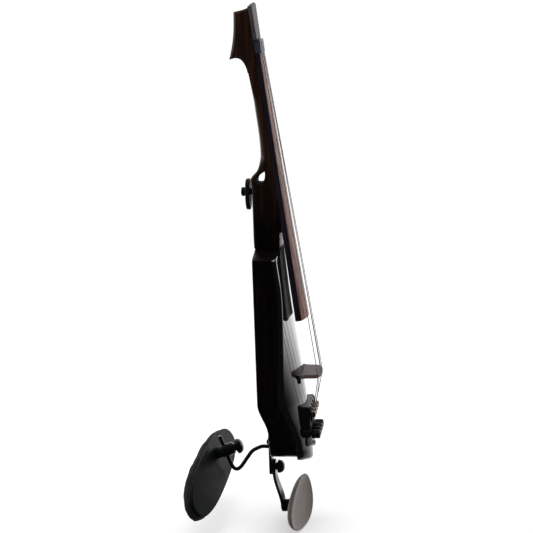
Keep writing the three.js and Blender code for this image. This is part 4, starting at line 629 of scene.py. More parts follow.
def finish_piece(holder, finish_name, body, nodes=(), even=True):
    if even:
        holder.modifiers.new("even_normals", "WEIGHTED_NORMAL").keep_sharp = True
        baked(holder)
    holder.data.name = holder.name
    holder.data.materials.clear()
    holder.data.materials.append(FINISHES[finish_name])
    for face in holder.data.polygons:
        face.material_index = 0
    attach(holder, body)
    if nodes:
        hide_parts(*nodes)
    print(holder.name, len(holder.data.polygons), "faces")
    return holder


def piece(name, shapes, finish_name, body, *nodes):
    return finish_piece(linked(name, mesh_of(name, shapes)), finish_name, body, nodes)


# %% Helpers for outlines


def inset(outline, distance):
    area = sum(a[0] * b[1] - b[0] * a[1] for a, b in zip(outline, outline[1:] + outline[:1]))
    side = 1 if area > 0 else -1
    moved = []
    for i, (u, v) in enumerate(outline):
        before, after = Vector(outline[i - 1]), Vector(outline[(i + 1) % len(outline)])
        here = Vector((u, v))
        inward = (here - before).normalized()
        outward = (after - here).normalized()
        along = (inward + outward).normalized()
        reach = distance / max(along.dot(inward), 0.5)
        moved.append((u - side * along.y * reach, v + side * along.x * reach))
    return moved


def rounded(corners, radius, steps=4):
    outline = []
    for i, corner in enumerate(corners):
        here = Vector(corner)
        before, after = Vector(corners[i - 1]), Vector(corners[(i + 1) % len(corners)])
        start = here + (before - here).normalized() * radius
        end = here + (after - here).normalized() * radius
        for k in range(steps + 1):
            t = k / steps
            point = start * (1 - t) ** 2 + here * 2 * t * (1 - t) + end * t * t
            outline.append((point.x, point.y))
    return outline


def rectangle(low_u, high_u, low_v, high_v):
    return [(low_u, low_v), (high_u, low_v), (high_u, high_v), (low_u, high_v)]


def oval(length, width, power, points, egg=0.0):
    outline = []
    for i in range(points):
        angle = 2 * pi * i / points
        c, s = cos(angle), sin(angle)
        u = (abs(c) ** (2 / power)) * (1 if c >= 0 else -1)
        v = (abs(s) ** (2 / power)) * (1 if s >= 0 else -1)
        outline.append((u * length / 2, v * width / 2 * (1 + egg * u)))
    return outline


def eased(low, high, edge, steps=3, stops=()):
    quarter = [(i / steps) * pi / 2 for i in range(steps + 1)]
    rows = [(low + edge * (1 - sin(a)), edge * (1 - cos(a))) for a in reversed(quarter)]
    rows += [(stop, 0) for stop in stops]
    return rows + [(high - edge * (1 - sin(a)), edge * (1 - cos(a))) for a in quarter]


def prism(outline, low, high, edge, place, steps=3):
    return skin([[place(u, v, w) for u, v in inset(outline, d)]
                 for w, d in eased(low, high, edge, steps)])


def along_x(u, v, w):
    return Vector((w, u, v))


def along_z(u, v, w):
    return Vector((u, v, w))


def turned(profile, sides=48, caps=True):
    angles = [2 * pi * i / sides for i in range(sides)]
    rings = [[Vector((r * cos(a), r * sin(a), h)) for a in angles] for r, h in profile]
    return skin(rings, caps)


def facing(direction, middle=(0, 0, 0)):
    turn = {"x": Matrix.Rotation(pi / 2, 4, "Y"), "-x": Matrix.Rotation(-pi / 2, 4, "Y"),
            "y": Matrix.Rotation(-pi / 2, 4, "X"), "z": Matrix.Identity(4)}[direction]
    return Matrix.Translation(middle) @ turn


def tube(points, radius, sides=16):
    rings, side = [], None
    turns = [2 * pi * k / sides for k in range(sides)]
    for i, point in enumerate(points):
        along = (points[min(i + 1, len(points) - 1)] - points[max(i - 1, 0)]).normalized()
        if side is None:
            side = along.orthogonal().normalized()
        side = (side - along * side.dot(along)).normalized()
        up = along.cross(side)
        rings.append([point + (side * cos(a) + up * sin(a)) * radius for a in turns])
    return skin(rings)


print("shape helpers ready")

# %% [markdown]
# The body is a solid core with an arched, lacquered shell glued on it. On the
# real instrument both are carved, and their shape is ruled by three curves that
# run from shoulder to tail: half width, rim height and crown height. The same
# three curves make the fine meshes here, with about one row a millimetre, so
# that the reflections in the black lacquer run without a kink.

# %% The curves of the body
HALF_WIDTH, TAIL_HALF, SEAT_HALF = 46, 23, 22
SHOULDER_TOP, SHOULDER, CREASE, TAIL_CORNER, TAIL = 79.5, 74, -75, -132, -142
RIM, CROWN, TAIL_BACK, TAIL_BACK_RISE = 28, 50.5, 8, -110
TOP_THICK, TOP_EDGE, TOP_LIP, TOP_TAIL_EDGE = 4, 3, 4.8, 6
SEAM, TAIL_DROP_SHARE, LEAST_WALL = 0.02, 0.8, 0.15
ROW_STEP, TAIL_ROWS = 1.2, 26
RIM_SHARES = [(0, 1.42), (0.03, 1.415), (0.092, 1.41), (0.158, 1.29), (0.193, 1.19),
              (0.245, 1.085), (0.285, 0.985), (0.31, 0.9), (0.425, 0.915), (0.56, 0.965),
              (0.69, 1), (0.82, 0.99), (0.97, 0.85), (1, 0.88)]
CROWN_SHARES = [
    (0, 1), (0.1, 0.99), (0.2, 0.945), (0.38, 0.855), (0.66, 0.685), (0.97, 0.54), (1, 0.53)]


def rim_at(z):
    return RIM * smooth_at(RIM_SHARES, (z - TAIL) / (SHOULDER_TOP - TAIL))


def crown_at(z):
    return CROWN * smooth_at(CROWN_SHARES, (z - TAIL) / (SHOULDER_TOP - TAIL))


def hard_half(z, lip):
    if z > SHOULDER:
        return lerp(HALF_WIDTH, SEAT_HALF, min((z - SHOULDER) / (SHOULDER_TOP - SHOULDER), 1))
    if z >= CREASE:
        return HALF_WIDTH
    if z >= TAIL_CORNER:
        return lerp(HALF_WIDTH, TAIL_HALF, (CREASE - z) / (CREASE - TAIL_CORNER))
    share = min((TAIL_CORNER - z) / (TAIL_CORNER - TAIL + lip), 0.999)
    return TAIL_HALF * sqrt(1 - share * share)


def half_at(z, lip=TOP_LIP):
    if z > SHOULDER_TOP - 2 or z < TAIL_CORNER - 1:
        return hard_half(z, lip)
    return sum(hard_half(z + step * 0.5, lip) for step in range(-3, 4)) / 7


def back_at(z):
    return TAIL_BACK * smoothstep(CREASE - z, 0, CREASE - TAIL_BACK_RISE)


def top_face(y, z):
    share = min(abs(y) / half_at(z), 1)
    return rim_at(z) + (crown_at(z) - rim_at(z)) * (1 - share * share)


def body_rows(lip, step=ROW_STEP):
    count = int((SHOULDER_TOP - TAIL_CORNER) / step)
    rows = [SHOULDER_TOP - (SHOULDER_TOP - TAIL_CORNER) * i / count for i in range(count + 1)]
    turn = [sin(i / TAIL_ROWS * pi / 2) for i in range(1, TAIL_ROWS + 1)]
    return rows + [TAIL_CORNER - (TAIL_CORNER - TAIL + lip) * share for share in turn]


BRIDGE_Z = -52.5
print("crown at bridge", round(crown_at(BRIDGE_Z), 2), "rim", round(rim_at(BRIDGE_Z), 2), "mm")

# %% [markdown]
# The shell: each row is the outer arch, from side to side, and the inner arch
# back again. Its side edge is rounded over, its tail end too, and its
# upper end has a small ease where a sanding block broke the corner.

# %% The lacquered shell
ACROSS = 84
END_EASE = 0.9


def shell_row(z):
    half = half_at(z)
    rim, crown = rim_at(z), crown_at(z)
    past = min(max((TAIL - TOP_LIP + TOP_TAIL_EDGE - z) / TOP_TAIL_EDGE, 0), 1)
    end_drop = TOP_TAIL_EDGE * (1 - sqrt(1 - past * past)) * TAIL_DROP_SHARE
    near = min(max((z - SHOULDER_TOP + END_EASE) / END_EASE, 0), 1)
    end_drop += END_EASE * (1 - sqrt(1 - near * near))
    outer, inner = [], []
    for i in range(ACROSS + 1):
        share = cos(pi * i / ACROSS)
        y = half * share
        inside = max(abs(y) - (half - TOP_EDGE), 0)
        edge = TOP_EDGE - sqrt(max(TOP_EDGE ** 2 - inside ** 2, 0))
        low = rim + (crown - rim) * (1 - share * share) - TOP_THICK
        high = rim + (crown - rim) * (1 - share * share) - edge - end_drop
        outer.append(Vector((max(high, low + LEAST_WALL), y, z)))
        inner.append(Vector((low, y, z)))
    return outer + inner[::-1]


piece("lacquered_top", [skin([shell_row(z) for z in body_rows(TOP_LIP)])], "piano_lacquer",
      "instrument", "body_top")

# %% [markdown]
# The core has a flat back, straight sides and a small chamfer along the back
# edge. Its openings are cut with booleans, as a router and drills cut the real
# one: the recess for the rear cover with the control pocket below it, seats for
# the two neck bolts, and holes for controls, socket and rod.

# %% The solid core
CORE_EASE, EASE_SHARE = 1.4, 0.35
COVER = (5, 41, -64, 36)
COVER_CORNER, COVER_THICK, POCKET_MARGIN, POCKET_DEPTH = 5, 2, 4.5, 20
CONTROL_X, VOLUME_Z, TONE_Z, JACK_Z, ROD_Z = 12.6, 19, -6, -44, -133.8
BOLT_PLACES = (70.5, 54.5)
BOLT_BORE, DIAL_BORE, JACK_BORE, ROD_BORE = 4.7, 3.3, 5.9, 4.8


def core_row(z):
    half = half_at(z, 0)
    rim, crown = rim_at(z), crown_at(z)
    back = back_at(z)
    low, side = back + CORE_EASE * EASE_SHARE, half - CORE_EASE * EASE_SHARE
    ring = [(back, -half + CORE_EASE), (back, half - CORE_EASE), (low, side),
            (back + CORE_EASE, half)]
    for i in range(25):
        share = cos(pi * i / 24)
        high = rim + (crown - rim) * (1 - share * share) - TOP_THICK - SEAM
        ring.append((high, half * share))
    ring += [(back + CORE_EASE, -half), (low, -side)]
    return [Vector((x, y, z)) for x, y in ring]


def cover_outline(grow):
    low_y, high_y, low_z, high_z = COVER
    return rounded(rectangle(low_y - grow, high_y + grow, low_z - grow, high_z + grow),
                   COVER_CORNER + grow, 6)


def bore(direction, middle, radius, start, end):
    return placed(facing(direction, middle), turned([(radius, start), (radius, end)], 40))


core = linked("solid_core", mesh_of("solid_core", [skin([core_row(z) for z in body_rows(0, 2)])]))
cuts = [[prism(cover_outline(0.3), -3, COVER_THICK + 0.3, 0, along_x, 1)],
        [prism(cover_outline(-POCKET_MARGIN), -2, POCKET_DEPTH, 0, along_x, 1)]]
cuts += [bore("x", (0, 0, z), BOLT_BORE, -3, 3.3) for z in BOLT_PLACES]
cuts += [bore("y", (CONTROL_X, 0, z), radius, 33, 49)
         for z, radius in ((VOLUME_Z, DIAL_BORE), (TONE_Z, DIAL_BORE), (JACK_Z, JACK_BORE))]
cuts += [bore("x", (0, 0, ROD_Z), ROD_BORE, 2, 26)]
carve(core, cuts)
finish_piece(core, "stained_wood", "instrument", ["body_core"])

# %% [markdown]
# Fingerboard, nut and head plate lie in one tilted plane. They are drawn in
# that plane's own frame, with X off the plane and Z along the neck, and then
# placed by one matrix. The board is crowned like the bridge, its long edges are
# eased, and its free end is hollowed underneath to save weight.

# %% The playing board
PLANE_TILT = radians(6.96)
PLANE_AT = Vector((5.9, 0, 271.5))
NECK_PLANE = Matrix.Translation(PLANE_AT) @ Matrix.Rotation(-PLANE_TILT, 4, "Y")
CROWN_RADIUS = 42
BOARD_LENGTH, BOARD_NUT_HALF, BOARD_END_HALF = 268, 12, 21
BOARD_NUT_SIDE, BOARD_END_SIDE, BOARD_EASE, BOARD_ROWS = 4.3, 5.8, 0.7, 90
HOLLOW_DEPTH, HOLLOW_LENGTH, HOLLOW_FADE = 2.2, 84, 14


def arch_drop(y):
    return CROWN_RADIUS - sqrt(CROWN_RADIUS ** 2 - y * y)


def board_row(z, pull):
    share = -z / BOARD_LENGTH
    half = lerp(BOARD_NUT_HALF, BOARD_END_HALF, share) - pull
    side = lerp(BOARD_NUT_SIDE, BOARD_END_SIDE, share) - pull * 0.6
    hollow_half = BOARD_END_HALF * 0.7
    hollow_radius = hollow_half ** 2 / (2 * HOLLOW_DEPTH) + HOLLOW_DEPTH / 2
    hollow_start = BOARD_LENGTH - HOLLOW_LENGTH
    fade = smoothstep(-z, hollow_start, hollow_start + HOLLOW_FADE)
    ring = []
    for i in range(33):
        y = lerp(-half, half, i / 32)
        dip = max(HOLLOW_DEPTH - hollow_radius + sqrt(max(hollow_radius ** 2 - y * y, 0)), 0)
        ring.append((pull + dip * fade, y))
    for i in range(49):
        y = half * cos(pi * i / 48)
        inside = max(abs(y) - (half - BOARD_EASE), 0)
        edge = BOARD_EASE - sqrt(max(BOARD_EASE ** 2 - inside ** 2, 0))
        ring.append((side + arch_drop(half) - arch_drop(y) - edge, y))
    return [NECK_PLANE @ Vector((x, y, z)) for x, y in ring]


board_stops = [-BOARD_LENGTH + 1 + i * (BOARD_LENGTH - 2) / BOARD_ROWS
               for i in range(BOARD_ROWS + 1)]
board_rows = [board_row(z, pull) for z, pull in eased(-BOARD_LENGTH, 0, 0.5, 3, board_stops)]
board = piece("playing_board", [skin(board_rows)], "board_wood", "instrument", "fingerboard")
# Faces turned to the front take the paler copy: painted sheen on the playing face.
board.data.materials.append(FINISHES["board_face_painted_sheen"])
front = (NECK_PLANE.to_3x3() @ X).normalized()
for face in board.data.polygons:
    if face.normal.dot(front) > 0.8:
        face.material_index = 1

# %% [markdown]
# The four strings run over the nut and the bridge into their clamps. Their
# places at both ends are worked out first, because the grooves of the nut and
# the notches of the bridge are cut to them.

# %% Places of the strings
STRING_NAMES = ("g", "d", "a", "e")
STRING_RADII = {"g": 0.42, "d": 0.4, "a": 0.36, "e": 0.3}
STRING_TILT = radians(8.62)
BRIDGE_X, BASS_RISE = 62.2, 1.2
SOUNDING, NUT_SPREAD, BRIDGE_SPREAD = 328, 8.25, 17
NUT_X = BRIDGE_X - SOUNDING * sin(STRING_TILT)
NUT_Z = BRIDGE_Z + SOUNDING * cos(STRING_TILT)
BLOCK_X, CLAMP_Z, KNOB_STEP, STRING_ABOVE = 50.7, -89.6, 11, 2.88
nut_points, bridge_points, clamp_points = [], [], []
for i in range(4):
    nut_y = lerp(-NUT_SPREAD, NUT_SPREAD, i / 3)
    bridge_y = lerp(-BRIDGE_SPREAD, BRIDGE_SPREAD, i / 3)
    nut_points.append(Vector((NUT_X - arch_drop(nut_y), nut_y, NUT_Z)))
    rise = -bridge_y / (2 * BRIDGE_SPREAD) * BASS_RISE
    bridge_points.append(Vector((BRIDGE_X - arch_drop(bridge_y) + rise, bridge_y, BRIDGE_Z)))
    clamp_points.append(Vector((BLOCK_X + STRING_ABOVE, (i - 1.5) * KNOB_STEP, CLAMP_Z)))
print("sounding length", round((nut_points[1] - bridge_points[1]).length, 1), "mm")

# %% [markdown]
# The nut is a satin block. Its outline across the neck holds the four grooves,
# so one straight prism makes most of it, and a second one without grooves
# closes the upper end. The head plate leans with its upper end, which is
# bowed.

# %% The nut and the head plate
NUT_LONG, NUT_STEPS, NUT_ABOVE, GROOVE_DEEP, GROOVE_HALF = 12.6, 48, 1.9, 1.5, 0.7
NUT_CROWN = BOARD_NUT_SIDE + arch_drop(BOARD_NUT_HALF) + NUT_ABOVE


def nut_outline(grooved):
    half, walls = BOARD_NUT_HALF, (-GROOVE_HALF, -0.69, 0.69, GROOVE_HALF)
    ys = sorted({round(lerp(-half, half, i / NUT_STEPS), 3) for i in range(NUT_STEPS + 1)}
                | {round(p.y + wall, 3) for p in nut_points for wall in walls})
    crown = []
    for y in reversed(ys):
        deep = grooved and any(abs(y - p.y) < GROOVE_HALF - 0.005 for p in nut_points)
        crown.append((y, NUT_CROWN - arch_drop(y) - (GROOVE_DEEP if deep else 0)))
    return [(-half, 0), (half, 0)] + crown


def on_plane(u, v, w):
    return NECK_PLANE @ Vector((v, u, w))


NUT_GAP = 0.3
nut_wall, nut_end = NUT_GAP + NUT_LONG * 0.88, NUT_GAP + NUT_LONG
piece("string_nut", [prism(nut_outline(True), NUT_GAP, nut_wall, 0.12, on_plane),
                     prism(nut_outline(False), nut_wall - 0.1, nut_end, 0.3, on_plane)],
      "nut_black", "instrument", "nut")

PLATE_LOW, PLATE_LONG, PLATE_THICK, PLATE_LOW_HALF, PLATE_HALF = 13.2, 33.6, 4.1, 14.16, 15
PLATE_LEAN = PLATE_THICK * 0.45


def plate_outline(x):
    lean = PLATE_LEAN * (x / PLATE_THICK - 1)
    top = [(PLATE_HALF * cos(pi * i / 40), lean + PLATE_LEAN * sin(pi * i / 40) ** 2)
           for i in range(41)]
    high = PLATE_LOW + PLATE_LONG
    low = [(-PLATE_LOW_HALF, PLATE_LOW), (PLATE_LOW_HALF, PLATE_LOW)]
    return low + [(y, high + z) for y, z in top]


plate_rings = [[NECK_PLANE @ Vector((x, y, z)) for y, z in inset(plate_outline(x), pull)]
               for x, pull in eased(0, PLATE_THICK, 0.45)]
piece("head_plate", [skin(plate_rings)], "head_satin", "instrument", "head_overlay")

# %% [markdown]
# Neck, heel and head are one piece of stained wood. The neck is a loft: at each
# height a flat front and a rounded back, squarer near the heel. The head is
# a board cut to its side outline, chamfered and tapered, with its front planed
# to the neck's plane. The two are fused by a boolean, and the leaf-shaped hole
# and the hole for the thumb stop's stud are cut last. The wall of the leaf hole
# gets a near-black, dull finish: painted shade inside the hole.

# %% Carve the neck, head and heel
NECK_LOW, HEEL_STEP, HEEL_TOP, HEEL_FRONT, BOARD_GAP = 79.8, 96, 152, 25.1, 0.4
NECK_HIGH = PLANE_AT.z + NUT_LONG
NECK_SPAN = PLANE_AT.z - NECK_LOW
NECK_BACK = [(0, -1.6), (0.05, -2), (0.2, -2.2), (0.3, -2.2), (0.31, -2.2), (0.335, -2.7),
             (0.35, -3.3), (0.364, -3), (0.377, -1.2), (0.392, 1.8), (0.413, 4.3), (0.438, 5.6),
             (0.475, 6.3), (0.561, 5.7), (0.62, 4.6), (0.712, 2.5), (0.834, -0.2), (0.905, -2.4),
             (0.95, -4), (1.07, -6)]
HEAD_HALF, HEAD_CHAMFER, HEAD_DEEP, HORN, HEAD_LONG = 14.16, 2, 21, 5.5, 46
THROAT_Z = PLANE_AT.z - HORN * 3.4
NECK_POWER, HEEL_POWER, THROAT_POWER, POWER_FADE = 2.35, 9, 5, 20
LEAF_HALF, LEAF_WIDE = 8.6, 7.8
LEAF_FRAME = Matrix.Translation((6.4, 0, 149.7)) @ Matrix.Rotation(radians(37), 4, "Y")
THUMB_Z, STUD_BORE = 134.4, 2.2


def neck_back(z):
    return smooth_at(NECK_BACK, (z - NECK_LOW) / NECK_SPAN)


def board_under(z):
    return PLANE_AT.x + (PLANE_AT.z - z) * tan(PLANE_TILT)


def neck_half(z):
    share = (PLANE_AT.z - z) / cos(PLANE_TILT) / BOARD_LENGTH
    board = lerp(BOARD_NUT_HALF * 2, BOARD_END_HALF * 2, share) / 2 - 0.3
    flare = min(max((HEEL_TOP - z) / (HEEL_TOP - NECK_LOW), 0), 1)
    return lerp(board, SEAT_HALF, flare * flare)


def neck_row(z, pull=0.0):
    near_heel = smoothstep(HEEL_TOP + POWER_FADE - z, 0, POWER_FADE)
    near_throat = smoothstep(z, THROAT_Z - 30, THROAT_Z)
    power = lerp(NECK_POWER, HEEL_POWER, near_heel) + THROAT_POWER * near_throat
    half = neck_half(z) - pull
    front = (HEEL_FRONT if z < HEEL_STEP else board_under(z) - BOARD_GAP) - pull
    deep = front - neck_back(z) - pull
    ring = []
    for i in range(65):
        angle = pi * i / 64
        c = cos(angle)
        y = half * abs(c) ** (2 / power) * (1 if c >= 0 else -1)
        ring.append(Vector((front - deep * sin(angle) ** (2 / power), y, z)))
    return ring


def bezier(a, b, c, d, steps=14):
    rows = []
    for i in range(1, steps + 1):
        t = i / steps
        s = 1 - t
        rows.append(a * s ** 3 + b * 3 * t * s ** 2 + c * 3 * t * t * s + d * t ** 3)
    return rows


def head_outline():
    front_low, low = board_under(PLANE_AT.z) - BOARD_GAP, PLANE_AT.z - HORN
    top, back = low + HEAD_LONG, front_low - HEAD_DEEP
    front_top = board_under(top)
    corner = Vector((front_top + 3, top + HORN * 0.9))
    tip = Vector((back + HEAD_DEEP * 0.085, top))
    handle = Vector((front_top - HEAD_DEEP * 0.4, top + HORN * 0.05))
    points = [corner] + bezier(corner, corner.lerp(handle, 2 / 3), tip.lerp(handle, 2 / 3), tip)
    heel = Vector((back + HEAD_DEEP * 0.075, top - HORN))
    horn = Vector((back - HEAD_DEEP * 0.21, low))
    throat = Vector((neck_back(THROAT_Z), THROAT_Z))
    points += [heel] + bezier(heel, Vector((back + HEAD_DEEP * 0.06, top - HEAD_LONG * 0.5)),
                              Vector((back - HEAD_DEEP * 0.04, low + HORN * 2.2)), horn, 18)
    points += bezier(horn, Vector((back + HEAD_DEEP * 0.3, low + HORN * 0.9)),
                     Vector((throat.x - HEAD_DEEP * 0.12, low - HORN * 0.4)), throat, 18)
    points += [Vector((front_low + 3, lerp(THROAT_Z, top, i / 8))) for i in range(8)]
    return [(p.x, p.y) for p in points]


def head_shape():
    outline, rings = head_outline(), []
    for w, pull in eased(-HEAD_HALF, HEAD_HALF, HEAD_CHAMFER, 1,
                         (-HEAD_HALF / 2, 0, HEAD_HALF / 2)):
        ring = []
        for x, z in inset(outline, pull):
            flare = smoothstep(z, THROAT_Z, NECK_HIGH - HORN)
            share = min(max((z - NECK_HIGH) / PLATE_LONG, 0), 1)
            taper = lerp(1, PLATE_HALF / HEAD_HALF, share)
            y = w * taper * lerp(neck_half(z) / HEAD_HALF, 1, flare)
            ring.append(Vector((min(x, board_under(z) - BOARD_GAP), y, z)))
        rings.append(ring)
    return skin(rings)


def leaf_shape():
    half, wide = LEAF_HALF, LEAF_WIDE
    low, high = Vector((0, -half)), Vector((0, half))
    edge = [low] + bezier(low, Vector((wide * 0.95, -half * 0.75)),
                          Vector((wide * 0.75, half * 0.35)), high, 18)
    edge += bezier(high, Vector((-wide * 0.3, half * 0.35)), Vector((-wide * 0.55, -half * 0.55)),
                   low, 18)[:-1]
    return placed(LEAF_FRAME, skin([[Vector((p.x, y, p.y)) for p in edge] for y in (-40, 40)]))


steps = int((NECK_HIGH - HEEL_STEP) / 1.1)
neck_rows = [neck_row(z, pull)
             for z, pull in eased(NECK_LOW, HEEL_STEP - 0.1, 0.35, 2, (84, 88, 92))]
neck_rows += [neck_row(lerp(HEEL_STEP, NECK_HIGH, i / steps)) for i in range(steps + 1)]
neck = linked("carved_neck", mesh_of("carved_neck", [skin(neck_rows)]))
carve(neck, [[head_shape()]], "UNION")
carve(neck, [leaf_shape(), bore("x", (0, 0, THUMB_Z), STUD_BORE, -12, 10)])
finish_piece(neck, "stained_wood", "instrument", ["neck"])
# The leaf hole's wall takes the near-black finish, painted shade inside the hole.
neck.data.materials.append(FINISHES["leaf_wall_painted_shade"])
to_leaf = LEAF_FRAME.inverted()
for face in neck.data.polygons:
    spot = to_leaf @ (face.center / MM)
    inside = face.center.x / MM > neck_back(face.center.z / MM) + 0.8
    if inside and abs(face.normal.y) < 0.3 and abs(spot.z) < 9 and -4.6 < spot.x < 7.6:
        face.material_index = 1

# %% [markdown]
# The bridge is a thin wooden plate. Its outline is drawn across the body: a
# crown with four notches, rounded upper corners, slightly hollow sides, and a
# foot line fitted to the arch it stands on. A thin black wafer lies under each
# foot, and the plug of its lead sits beside one of them.

# %% The bridge
BRIDGE_THICK, BRIDGE_TOP_HALF, BRIDGE_FOOT_HALF = 3.8, 19, 21.5
FOOT_SEAT, FOOT_INNER, PLUG_Y = 2.0, 12.2, -19.6


def crown_line(y):
    deep = 0
    for name, point in zip(STRING_NAMES, bridge_points):
        radius = STRING_RADII[name] + 0.12
        if abs(y - point.y) < radius:
            deep = 0.05 + sqrt(radius ** 2 - (y - point.y) ** 2)
    rise = -y / (2 * BRIDGE_SPREAD) * BASS_RISE
    return BRIDGE_X - 0.3 + 0.35 - arch_drop(y) + rise - deep * 0.8


def quadratic(a, b, c, steps=8):
    return bezier(a, a.lerp(b, 2 / 3), c.lerp(b, 2 / 3), c, steps)


def bridge_outline(z):
    low, crown = BRIDGE_X - 26, BRIDGE_X + 0.05
    corner, rounded_y = crown - 8.2, BRIDGE_TOP_HALF - 5.6
    ys = [lerp(-BRIDGE_FOOT_HALF, BRIDGE_FOOT_HALF, i / 60) for i in range(61)]
    points = [Vector((y, top_face(y, z) + (FOOT_SEAT if abs(y) > FOOT_INNER else 0.1)))
              for y in ys]
    side = Vector((BRIDGE_FOOT_HALF, max(low + 4.8, points[-1].y + 1.4)))
    straight = Vector((BRIDGE_TOP_HALF, corner - BASS_RISE))
    points += [side] + quadratic(side, Vector((BRIDGE_TOP_HALF, low + 7.7)), straight)
    points += quadratic(straight, Vector((BRIDGE_TOP_HALF, corner + 3.9)),
                        Vector((rounded_y, crown_line(rounded_y))))
    ys = [lerp(rounded_y, -rounded_y, i / 110) for i in range(1, 111)]
    points += [Vector((y, crown_line(y))) for y in ys]
    left = Vector((-BRIDGE_TOP_HALF, corner))
    points += quadratic(points[-1], Vector((-BRIDGE_TOP_HALF, corner + 5)), left)
    points += quadratic(left, Vector((-BRIDGE_TOP_HALF, low + 7.7)), Vector((-side.x, side.y)))
    return [(p.x, p.y) for p in points]


def bridge_ring(z, pull):
    return [Vector((x, y, BRIDGE_Z + z)) for y, x in inset(bridge_outline(BRIDGE_Z + z), pull)]


half = BRIDGE_THICK / 2
piece("wood_bridge", [skin([bridge_ring(z, pull) for z, pull in eased(-half, half, 0.35)])],
      "bridge_wood", "instrument", "bridge")


def wafer(side):
    rings = []
    for z, pull in eased(-BRIDGE_THICK / 2, BRIDGE_THICK / 2, 0.2, 2):
        ys = [side * lerp(12.5 + pull, 21.5 - pull, i / 10) for i in range(11)]
        low = [(y, top_face(y, BRIDGE_Z + z) + 0.05) for y in ys]
        high = [(y, top_face(y, BRIDGE_Z + z) + 1.95 - pull) for y in reversed(ys)]
        rings.append([Vector((x, y, BRIDGE_Z + z)) for y, x in low + high])
    return skin(rings)


piece("wafer_bass", [wafer(-1)], "black_plastic", "instrument", "pickup_bass")
piece("wafer_treble", [wafer(1)], "black_plastic", "instrument", "pickup_treble")
plug = [(0, -7.2), (0.6, -7.2), (1.15, -6.2), (1.2, -5.6), (1.2, -3.6), (1.05, -3.5),
        (1.05, -3.2), (1.2, -3.1), (1.2, -2.2), (0, -2.2)]
plug_at = Matrix.Translation((top_face(PLUG_Y, BRIDGE_Z) + 1.5, PLUG_Y, BRIDGE_Z))
piece("lead_plug", placed(plug_at, turned(plug, 24)), "black_plastic", "instrument", "pickup_plug")

# %% [markdown]
# The tuner block is machined from one bar: a slab with a small chamfer all
# round and a wider lower end. Four slots guide the string clamps. When they are
# cut, the points of its flat foot are set just under the arched top, so that
# its sides run down into it. Below it a thin skirt in two lobes lies on the
# lacquer.

# %% The tuner block and its skirt
BLOCK_TOP, BLOCK_LOW, BLOCK_HALF, FLANGE_HALF, BLOCK_EASE = -83.5, -116.3, 23, 24.3, 1.2
KNOB_Z, SKIRT_LOW, SKIRT_HALF, NOTCH_HALF = -113.8, -128.1, 20, 7.5
CLAMP_YS = [p.y for p in clamp_points]
FOOT_PLANE, SLOT_END, SLOT_DEEP, GUIDE_HALF = 32, -103.5, 2.3, 1.9


def block_outline():
    shoulder = BLOCK_LOW + 7
    right = [(BLOCK_HALF, shoulder + 1.3), (FLANGE_HALF, shoulder), (FLANGE_HALF, BLOCK_LOW + 1.2),
             (BLOCK_HALF, BLOCK_LOW)]
    left = [(-y, z) for y, z in reversed(right)]
    top = [(-BLOCK_HALF, BLOCK_TOP - 1.2), (-BLOCK_HALF + 1.2, BLOCK_TOP),
           (BLOCK_HALF - 1.2, BLOCK_TOP), (BLOCK_HALF, BLOCK_TOP - 1.2)]
    return (left + top + right)[::-1]


def block_shape():
    foot = [Vector((FOOT_PLANE, y, z)) for y, z in rounded(block_outline(), 0.3, 2)]
    rows = [(BLOCK_X - BLOCK_EASE - 0.25, 0), (BLOCK_X - BLOCK_EASE, 0.08),
            (BLOCK_X - 0.12, BLOCK_EASE - 0.08), (BLOCK_X, BLOCK_EASE + 0.15)]
    return skin([foot] + [[Vector((x, y, z))
                           for y, z in rounded(inset(block_outline(), pull), 0.3, 2)]
                          for x, pull in rows])


def skirt_lobe(side):
    bend, rings = 5.9, []
    for i in range(19):
        z = lerp(BLOCK_LOW + 0.5, SKIRT_LOW, sin(i / 18 * pi / 2))
        t = min(max((SKIRT_LOW + bend * 1.3 - z) / (bend * 1.3), 0), 1)
        outer = SKIRT_HALF - bend * (1 - sqrt(1 - t * t * 0.999))
        ys = [side * lerp(NOTCH_HALF, max(outer, NOTCH_HALF + 1), k / 14) for k in range(15)]
        near_end = min((z - SKIRT_LOW) / 0.7, 1)
        top = []
        for k, y in enumerate(ys):
            near_side = min(min(abs(y) - NOTCH_HALF, outer - abs(y)) / 0.6, 1)
            lift = 0.25 + 1.4 * (sqrt(max(0, 1 - (1 - max(near_side, 0)) ** 2))
                                 * sqrt(max(0, 1 - (1 - near_end) ** 2)))
            top.append(Vector((top_face(y, z) + lift, y, z)))
        low = [Vector((top_face(y, z) + 0.02, y, z)) for y in reversed(ys)]
        rings.append(top + low)
    return skin(rings)


block = linked("machined_block", mesh_of("machined_block", [block_shape()]))
slots = []
for y in CLAMP_YS:
    outline = rounded(rectangle(y - GUIDE_HALF, y + GUIDE_HALF, SLOT_END, BLOCK_TOP + 3), 0.3, 2)
    slots.append([prism(outline, BLOCK_X - SLOT_DEEP, BLOCK_X + 3, 0.1, along_x, 1)])
carve(block, slots, solver="MANIFOLD")
for vertex in block.data.vertices:
    if vertex.co.x < (FOOT_PLANE + 1) * MM:
        vertex.co.x = (top_face(vertex.co.y / MM, vertex.co.z / MM) - 0.4) * MM
joined(block, [mesh_of("skirts", [skirt_lobe(-1), skirt_lobe(1)])])
finish_piece(block, "block_metal", "instrument", ["tuner_block"])

# %% [markdown]
# Each string clamp is a small brass carriage with a slot for the string, on a
# dark foot that slides in the block. The jaws are drawn as a U and extruded
# along the string; the foot is a second piece, because its metal is another.

# %% String clamps
CLAMP_LONG, CLAMP_HALF, CLAMP_HIGH, SLOT_HALF = 5.6, 2.7, 4.8, 0.7
SEAT_X = BLOCK_X + 0.3


